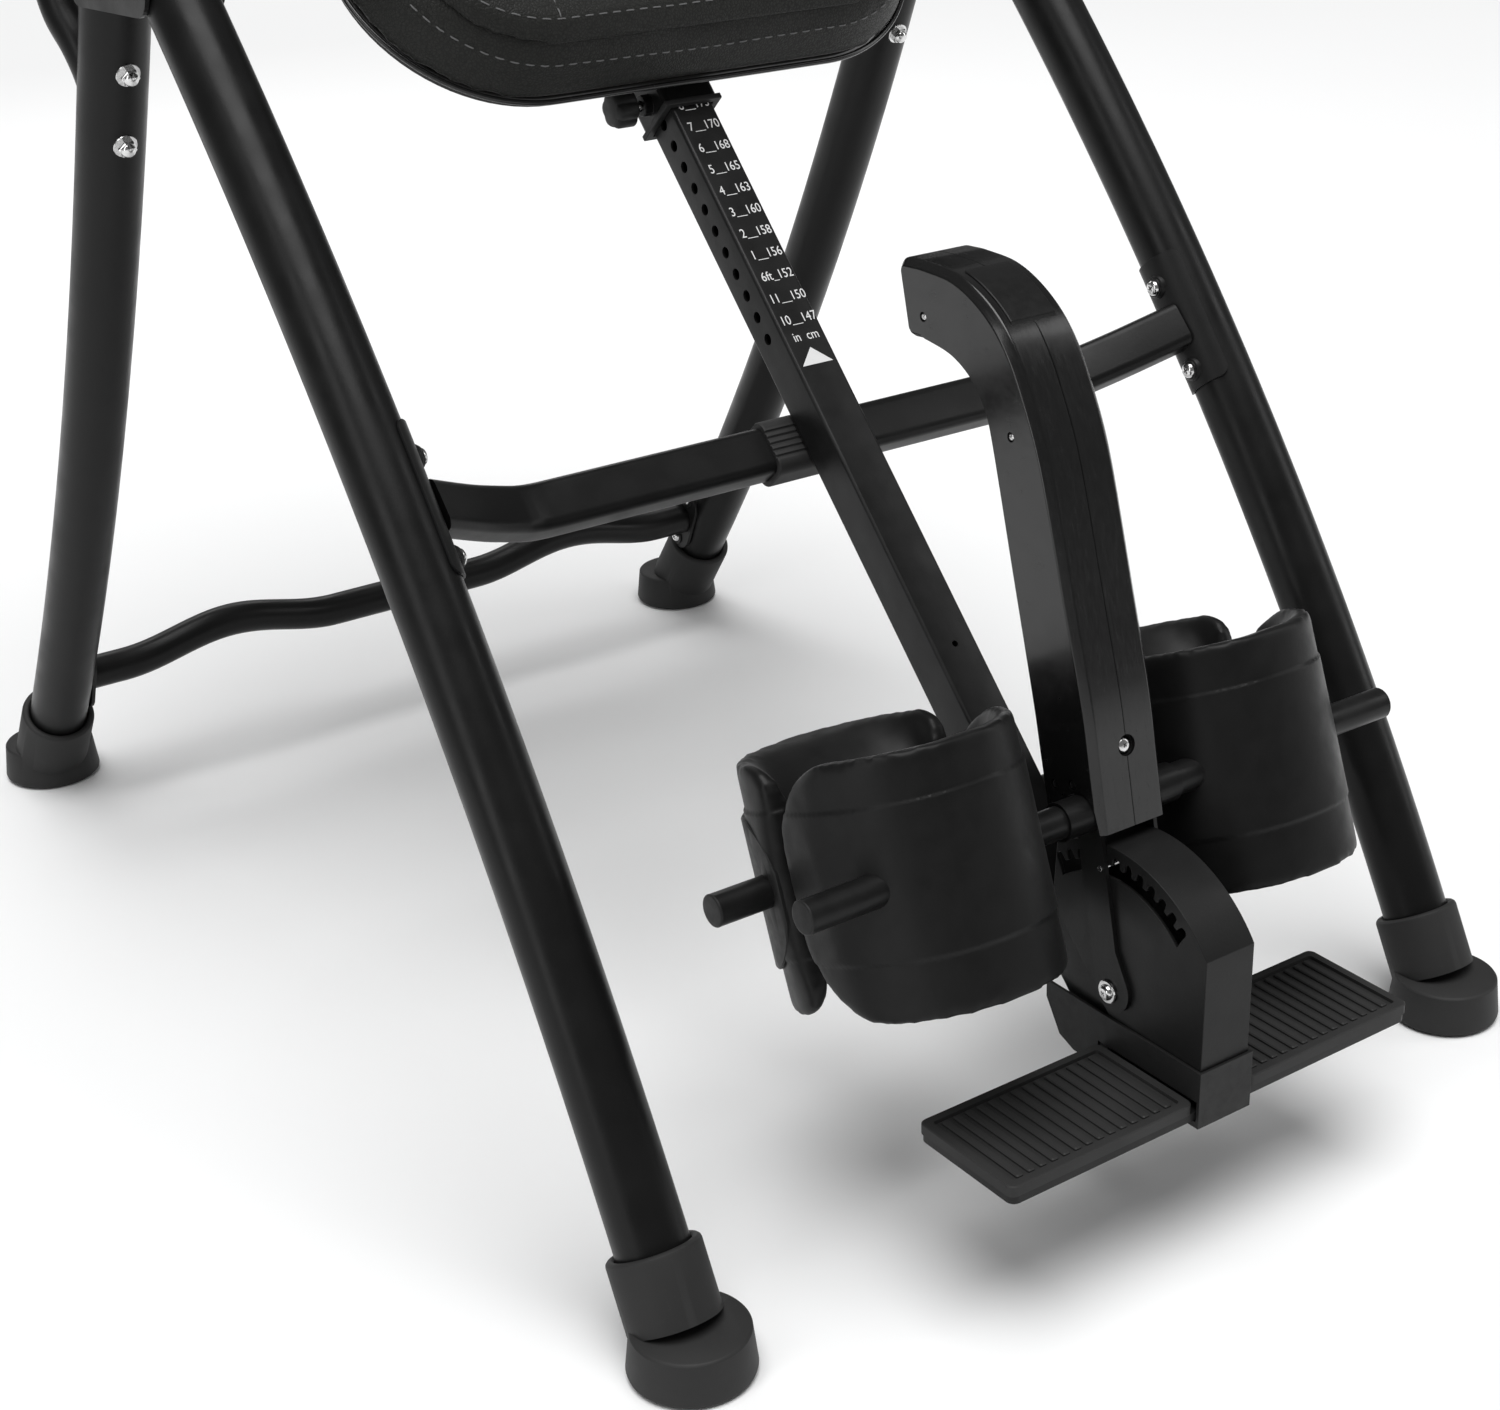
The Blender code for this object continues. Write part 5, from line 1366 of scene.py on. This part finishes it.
def make_cuff(which, place, facing, shape):
    """A pair of cuffs: the left one is shaped and the right one is its mirror image."""
    centre, up, out = cuff_frame(place, facing)
    low, high = CUFF_HEIGHT
    inset = 0.0012
    heights = [low + (high - low) * (1 - cos(pi * i / 26)) / 2 for i in range(27)]
    rings = []
    for h in heights:
        rings.append([centre + up * (h * 0.985) + out * b + ACROSS * (x - CUFF_X)
                      for x, b in cuff_ring(shape, h, -inset)])
    cuff = new_object(f"{which}_cuff_foam_left", skin(rings), FOAM)
    inflate(cuff, 0.0030, 4.0, 0.0045)
    origin = centre - ACROSS * CUFF_X
    normals = [vertex.normal.copy() for vertex in cuff.data.vertices]
    for vertex, normal in zip(cuff.data.vertices, normals):
        away = vertex.co - origin
        share = (away.dot(up) - low) / (high - low)
        inside = min(share - CUFF_BAND[0], CUFF_BAND[1] - share) * (high - low)
        flat = Vector((away.dot(ACROSS), away.dot(out)))
        outer = flat.y > shape["inner"] + 0.010 or abs(flat.x) > CUFF_HALF - 0.010
        if outer:
            rise = min(max(inside / 0.0014 + 0.5, 0.0), 1.0)
            vertex.co += normal * 0.0011 * rise * rise * (3 - 2 * rise)
    right_mesh = cuff.data.copy()
    right_mesh.transform(Matrix.Scale(-1, 4, ACROSS))
    right_mesh.flip_normals()
    right = bpy.data.objects.new(f"{which}_cuff_foam_right", right_mesh)
    bpy.context.scene.collection.objects.link(right)
    body = {"front": "shin_cuff", "rear": "heel_cuff"}[which]
    for piece, label in ((cuff, "left"), (right, "right")):
        finish_piece(piece, f"{label}_{body}", (f"{which}_cuff_{label}",))


def make_backings():
    place = table_yz(REAR_ROD_S, 0)
    centre, up, out = cuff_frame(place, 1)
    half = CUFF_HALF + GAP
    corner = REAR_CUFF["corner"] + GAP
    outer = REAR_CUFF["outer"] + GAP
    low, high = BACKING_HEIGHT
    for side, label in SIDES:
        rings = []
        turns = [radians(90 * i / 24) for i in range(25)]
        for lift, edge in ((0.0, 0.0), (BACKING - 0.0008, 0.0), (BACKING, 0.0010)):
            path = [(half + lift, -0.016 + edge)]
            path += [(half - corner + (corner + lift) * cos(t), outer - corner + (corner + lift) * sin(t))
                     for t in turns]
            path += [(-x, b) for x, b in reversed(path)]
            rings.append((path, edge))
        bm = bmesh.new()
        layers = []
        for path, edge in rings:
            count = len(path) - 1
            columns = []
            for i, (x, b) in enumerate(path):
                share = max(abs(2 * i / count - 1) - 0.72, 0)
                narrow = (1 - sqrt(max(1 - share ** 2 / 0.28 ** 2, 0.04))) * (high - low) * 0.42
                column = []
                for k in range(9):
                    h = low + edge + narrow + (high - low - 2 * edge - 2 * narrow) * k / 8
                    column.append(bm.verts.new(centre + up * h + out * b + ACROSS * (x + side * CUFF_X)))
                columns.append(column)
            layers.append(columns)
        for columns in (layers[0], layers[-1]):
            for a, b in zip(columns, columns[1:]):
                for k in range(8):
                    bm.faces.new((a[k], b[k], b[k + 1], a[k + 1]))
        for la, lb in zip(layers, layers[1:]):
            border_a, border_b = (
                [c[0] for c in layer] + layer[-1][1:] + [c[-1] for c in reversed(layer[:-1])]
                + layer[0][-2:0:-1] for layer in (la, lb))
            for i in range(len(border_a)):
                j = (i + 1) % len(border_a)
                bm.faces.new((border_a[i], border_a[j], border_b[j], border_b[i]))
        shell = new_object(f"rear_cuff_backing_shell_{label}", bm, MATTE, 40)
        finish_piece(shell, f"{label}_heel_cuff", (f"rear_cuff_backing_{label}",))


make_cuff("front", FRONT_ROD, -1, FRONT_CUFF)
make_cuff("rear", table_yz(REAR_ROD_S, 0), 1, REAR_CUFF)
make_backings()


def back_outline(inset=0.0, low=BACK_LOW, top=BACK_TOP, low_r=BACK_LOW_R, top_r=BACK_TOP_R, steps=20):
    """The backrest's outline as (x, s)."""
    half = BACK_HALF - inset
    top_half = BACK_TOP_HALF - inset
    low += inset
    top -= inset
    low_r -= inset
    top_r -= inset
    right = arc((half - low_r, low + low_r), low_r, -90, 0, steps)
    waist = [Vector(right[-1]), Vector((half, low + 0.30)),
             Vector((half - 0.25 * (half - top_half), low + 0.50)),
             Vector((half - 0.70 * (half - top_half), low + 0.68)), Vector((top_half, top - top_r))]
    right += [(p.x, p.y) for p in smooth_path(waist, 8)][1:-1]
    right += arc((top_half - top_r, top - top_r), top_r, 0, 90, steps)
    left = [(-x, s) for x, s in reversed(right)]
    return right + left


def slab_rings(levels):
    """Rings of an outline at heights above the shaft: each level is (outline, n)."""
    return [[on_table(s, n, x) for x, s in outline] for outline, n in levels]


def dashes(name, routes, surface, body, gap=0.0042, stitch=0.0062, radius=0.00052):
    """Stitches laid along (x, s) routes on a surface: short threads whose ends dip into it."""
    tree = BVHTree.FromObject(surface, bpy.context.evaluated_depsgraph_get())
    parts = []
    for route, closed in routes:
        points = [Vector(p) for p in route] + ([Vector(route[0])] if closed else [])
        lengths = [0.0]
        for a, b in zip(points, points[1:]):
            lengths.append(lengths[-1] + (b - a).length)
        count = max(1, int(lengths[-1] / (gap + stitch)))
        for i in range(count):
            spine = []
            for k in range(5):
                at = (i + (0.15 + 0.70 * k / 4) * stitch / (gap + stitch) * 1.4) * lengths[-1] / count
                j = max(m for m in range(len(lengths) - 1) if lengths[m] <= at)
                share = (at - lengths[j]) / max(lengths[j + 1] - lengths[j], 1e-9)
                x, s = points[j].lerp(points[j + 1], min(share, 1.0))
                hit, normal, _, _ = tree.ray_cast(on_table(s, 0.14, x), -ABOVE)
                if hit is None:
                    spine = []
                    break
                lift = (-0.9, 0.35, 0.5, 0.35, -0.9)[k] * radius
                spine.append(hit + normal * lift)
            if len(spine) == 5:
                stations = []
                for m, point in enumerate(spine):
                    ahead = (spine[min(m + 1, 4)] - spine[max(m - 1, 0)]).normalized()
                    side = ahead.cross(ABOVE).normalized()
                    stations.append((point, side, ahead.cross(side)))
                parts.append(sweep(stations, circle(radius, 6)))
    if not parts:
        return None
    return finish_piece(new_object(name, merged(parts), THREAD, 60), body)


def along_outline(outline, inset):
    """The outline moved inwards."""
    made = []
    count = len(outline)
    for i, point in enumerate(outline):
        ahead = Vector(outline[(i + 1) % count]) - Vector(outline[i - 1])
        normal = Vector((-ahead.y, ahead.x)).normalized()
        moved = Vector(point) + normal * inset
        made.append((moved.x, moved.y))
    return made


PANEL_INSET = 0.0225
PANEL_LOW = 0.0245


def panel_outline(inset=0.0):
    return back_outline(PANEL_INSET + inset, low=PANEL_LOW - PANEL_INSET,
                        top=HEAD_CUSHION[0] - 0.010 + PANEL_INSET,
                        low_r=0.118, top_r=0.062)


def held_above(level, start, run):
    """How freely a soft cover may swell: not at all at its base, fully higher up."""
    def share(point):
        height = (point - on_table(0, 0)).dot(ABOVE) - level
        return min(max((height - start) / run, 0.0), 1.0)

    return share


def make_board():
    levels = ((0.0066, 0.0), (0.0060, 0.0006), (0.0060, BOARD - 0.0006), (0.0066, BOARD))
    board = skin(slab_rings([(back_outline(inset), BOARD_N + height) for inset, height in levels]))
    finish_piece(new_object("backrest_board_panel", board, WOOD), "table", ("backrest_board",))


def make_cushion(base):
    levels = [(0.0040, 0.0), (0.0022, 0.0010), (0.0018, 0.004), (0.0020, 0.010), (0.0040, 0.020),
              (0.0075, 0.030), (0.0125, 0.0375), (0.0180, 0.0415), (0.0250, 0.0432), (0.0400, 0.0440)]
    rings = slab_rings([(back_outline(inset), base + height - 0.0012) for inset, height in levels])
    cushion = new_object("backrest_cushion_cover", skin(rings), LEATHER)
    inflate(cushion, 0.0062, 4.0, 0.0050, held=held_above(base, 0.004, 0.012))
    finish_piece(cushion, "table", ("backrest_cushion",))
    return cushion


def make_piping(base):
    """The welt where the cushion's cover meets the board."""
    route = [on_table(s, base + 0.0006, x) for x, s in back_outline(0.0020, steps=28)]
    count = len(route)
    rings = []
    for i, point in enumerate(route):
        ahead = (route[(i + 1) % count] - route[i - 1]).normalized()
        side = ahead.cross(ABOVE).normalized()
        rings.append([point + side * p + ABOVE * q for p, q in circle(0.0019, 16)])
    piping = new_object("backrest_edge_piping", skin(rings, closed=True), GLOSS, 60)
    finish_piece(piping, "table")


def make_panel(base):
    levels = [(0.0, 0.0), (-0.0004, 0.0020), (0.0002, 0.0050), (0.0020, 0.0080), (0.0055, 0.0100),
              (0.0120, 0.0112)]
    rings = slab_rings([(panel_outline(inset), base + height - 0.0006) for inset, height in levels])
    panel = new_object("backrest_panel_cover", skin(rings), LEATHER)
    inflate(panel, 0.0050, 3.0, 0.0030, held=held_above(base, 0.002, 0.005))
    finish_piece(panel, "table", ("backrest_panel",))
    return panel


def make_head(base):
    low, high = HEAD_CUSHION
    levels = ((0.0060, 0.0), (0.0015, 0.0015), (0.0010, 0.006), (0.0020, 0.014), (0.0060, 0.022),
              (0.0130, 0.0265), (0.0240, 0.0290))
    width, length = 2 * HEAD_CUSHION_HALF, high - low
    rings = []
    for inset, height in levels:
        outline = rounded_rect(width - 2 * inset, length - 2 * inset, 0.045 - inset * 0.8, 12)
        rings.append([on_table(s + (low + high) / 2, base + height, x) for x, s in outline])
    head = new_object("head_cushion_cover", skin(rings), LEATHER)
    inflate(head, 0.0045, 4.0, 0.0060, held=held_above(base, 0.002, 0.008))
    finish_piece(head, "table", ("head_cushion",))
    return head


def make_backrest():
    make_board()
    base = BOARD_N + BOARD + GAP
    cushion = make_cushion(base)
    make_piping(base)
    top = base + CUSHION
    panel = make_panel(top - 0.0030)
    make_seams(cushion, panel, make_head(top))


def make_seams(cushion, panel, head):
    rows = [(along_outline(panel_outline(), 0.0130), True)]
    for x in (-0.115, 0.115):
        rows.append(([(x, PANEL_LOW + 0.0130), (x * 0.94, HEAD_CUSHION[0] - 0.028)], False))
    for s in (0.300, 0.540):
        rows.append(([(-0.112, s), (0.0, s + 0.012), (0.112, s)], False))
    dashes("panel_stitching", rows, panel, "table")
    dashes("cushion_stitching", [(back_outline(0.0160, low=0.0035), True)], cushion, "table")
    low, high = HEAD_CUSHION
    head_row = rounded_rect(2 * HEAD_CUSHION_HALF - 0.046, high - low - 0.046, 0.03, 10)
    row = [(x, s + (low + high) / 2) for x, s in head_row]
    dashes("head_stitching", [(row, True)], head, "table")


make_backrest()


# Pull pin knob


def make_knob():
    place = table_yz(KNOB_S, 0)
    rings = []
    for x, radius in ((-0.0345, 0.0098), (-0.0350, 0.0104), (-0.0362, KNOB_R - 0.0006), (-0.0372, KNOB_R),
                      (-0.0486, KNOB_R), (-0.0500, KNOB_R - 0.0006), (-0.0516, 0.0112), (-0.0523, 0.0085)):
        ring = []
        for i in range(96):
            turn = 2 * pi * i / 96
            lobe = 0.5 + 0.5 * cos(6 * turn)
            r = radius * (0.885 + 0.115 * lobe ** 0.5)
            ring.append(Vector((x, place[0] + r * cos(turn), place[1] + r * sin(turn))))
        rings.append(ring)
    knob = new_object("height_knob", skin(rings), MATTE, 40)
    finish_piece(knob, "pull_pin")
    stem = new_object("height_pin_stem", rod_x(place, 0.0030, -0.0176, -0.036, 32, 0.0008), CHROME)
    finish_piece(stem, "pull_pin", ("height_pin",))


make_knob()


# CAD nodes that keep their own shape


def dress_nodes():
    """Rounded edges and the detailed materials on the CAD nodes that still show."""
    sheet = ("hinge_plate", "crossbar_plate", "rear_crossbar_plate", "cam_lock", "pivot_arm", "strap")
    for name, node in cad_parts.items():
        if node.hide_render:
            continue
        old = node.data.materials[0].name.split(".")[0] if node.data.materials else "black_steel"
        look = SLOT_LOOKS.get(old, STEEL)
        if any(word in name for word in sheet):
            look = PLATE_STEEL
        node.data.materials.clear()
        node.data.materials.append(look)
        weld = node.modifiers.new("weld", "WELD")
        weld.merge_threshold = 0.00002
        soften(node, 0.0006 if name not in ("fold_pin_left", "fold_pin_right") else 0.0003, 2, 34)


dress_nodes()


# Stage


def make_stage():
    bpy.ops.mesh.primitive_plane_add(size=40.0, location=(0, 0, -0.0004))
    floor = bpy.context.object
    floor.name = "floor"
    floor.data.materials.append(floor_paint("pale_floor"))

    world = bpy.data.worlds.new("studio")
    bpy.context.scene.world = world
    world.use_nodes = True
    world.node_tree.nodes["Background"].inputs["Color"].default_value = (1.0, 1.0, 1.0, 1.0)
    world.node_tree.nodes["Background"].inputs["Strength"].default_value = WORLD_STRENGTH

    sun = bpy.data.lights.new("overhead", "SUN")
    sun.energy = SUN_ENERGY
    sun.angle = SUN_ANGLE
    overhead = bpy.data.objects.new("overhead", sun)
    overhead.rotation_euler = Vector(SUN_AIM).to_track_quat("-Z", "Y").to_euler()
    bpy.context.scene.collection.objects.link(overhead)

    for name, place, target, size, power in CARDS:
        data = bpy.data.lights.new(name, "AREA")
        data.shape = "RECTANGLE"
        data.size, data.size_y = size
        data.energy = power
        lamp = bpy.data.objects.new(name, data)
        lamp.location = place
        lamp.rotation_euler = (Vector(target) - Vector(place)).to_track_quat("-Z", "Y").to_euler()
        bpy.context.scene.collection.objects.link(lamp)


def make_camera():
    az, el, roll = radians(CAMERA_AZIMUTH), radians(CAMERA_ELEVATION), radians(CAMERA_ROLL)
    ahead = Vector((-sin(az) * cos(el), cos(az) * cos(el), -sin(el)))
    level = Vector((cos(az), sin(az), 0))
    up = level.cross(ahead)
    right = level * cos(roll) + up * sin(roll)
    up = right.cross(ahead)
    data = bpy.data.cameras.new("camera")
    data.sensor_fit = "HORIZONTAL"
    data.sensor_width = 36.0
    data.lens = CAMERA_LENS
    data.shift_x, data.shift_y = CAMERA_SHIFT
    data.clip_start = 0.05
    data.clip_end = 60.0
    camera = bpy.data.objects.new("camera", data)
    matrix = Matrix((right, up, -ahead)).transposed().to_4x4()
    matrix.translation = CAMERA_PLACE
    camera.matrix_world = matrix
    bpy.context.scene.collection.objects.link(camera)
    bpy.context.scene.camera = camera
    bpy.context.scene.view_settings.view_transform = "Standard"


make_stage()
make_camera()

bpy.context.view_layer.update()
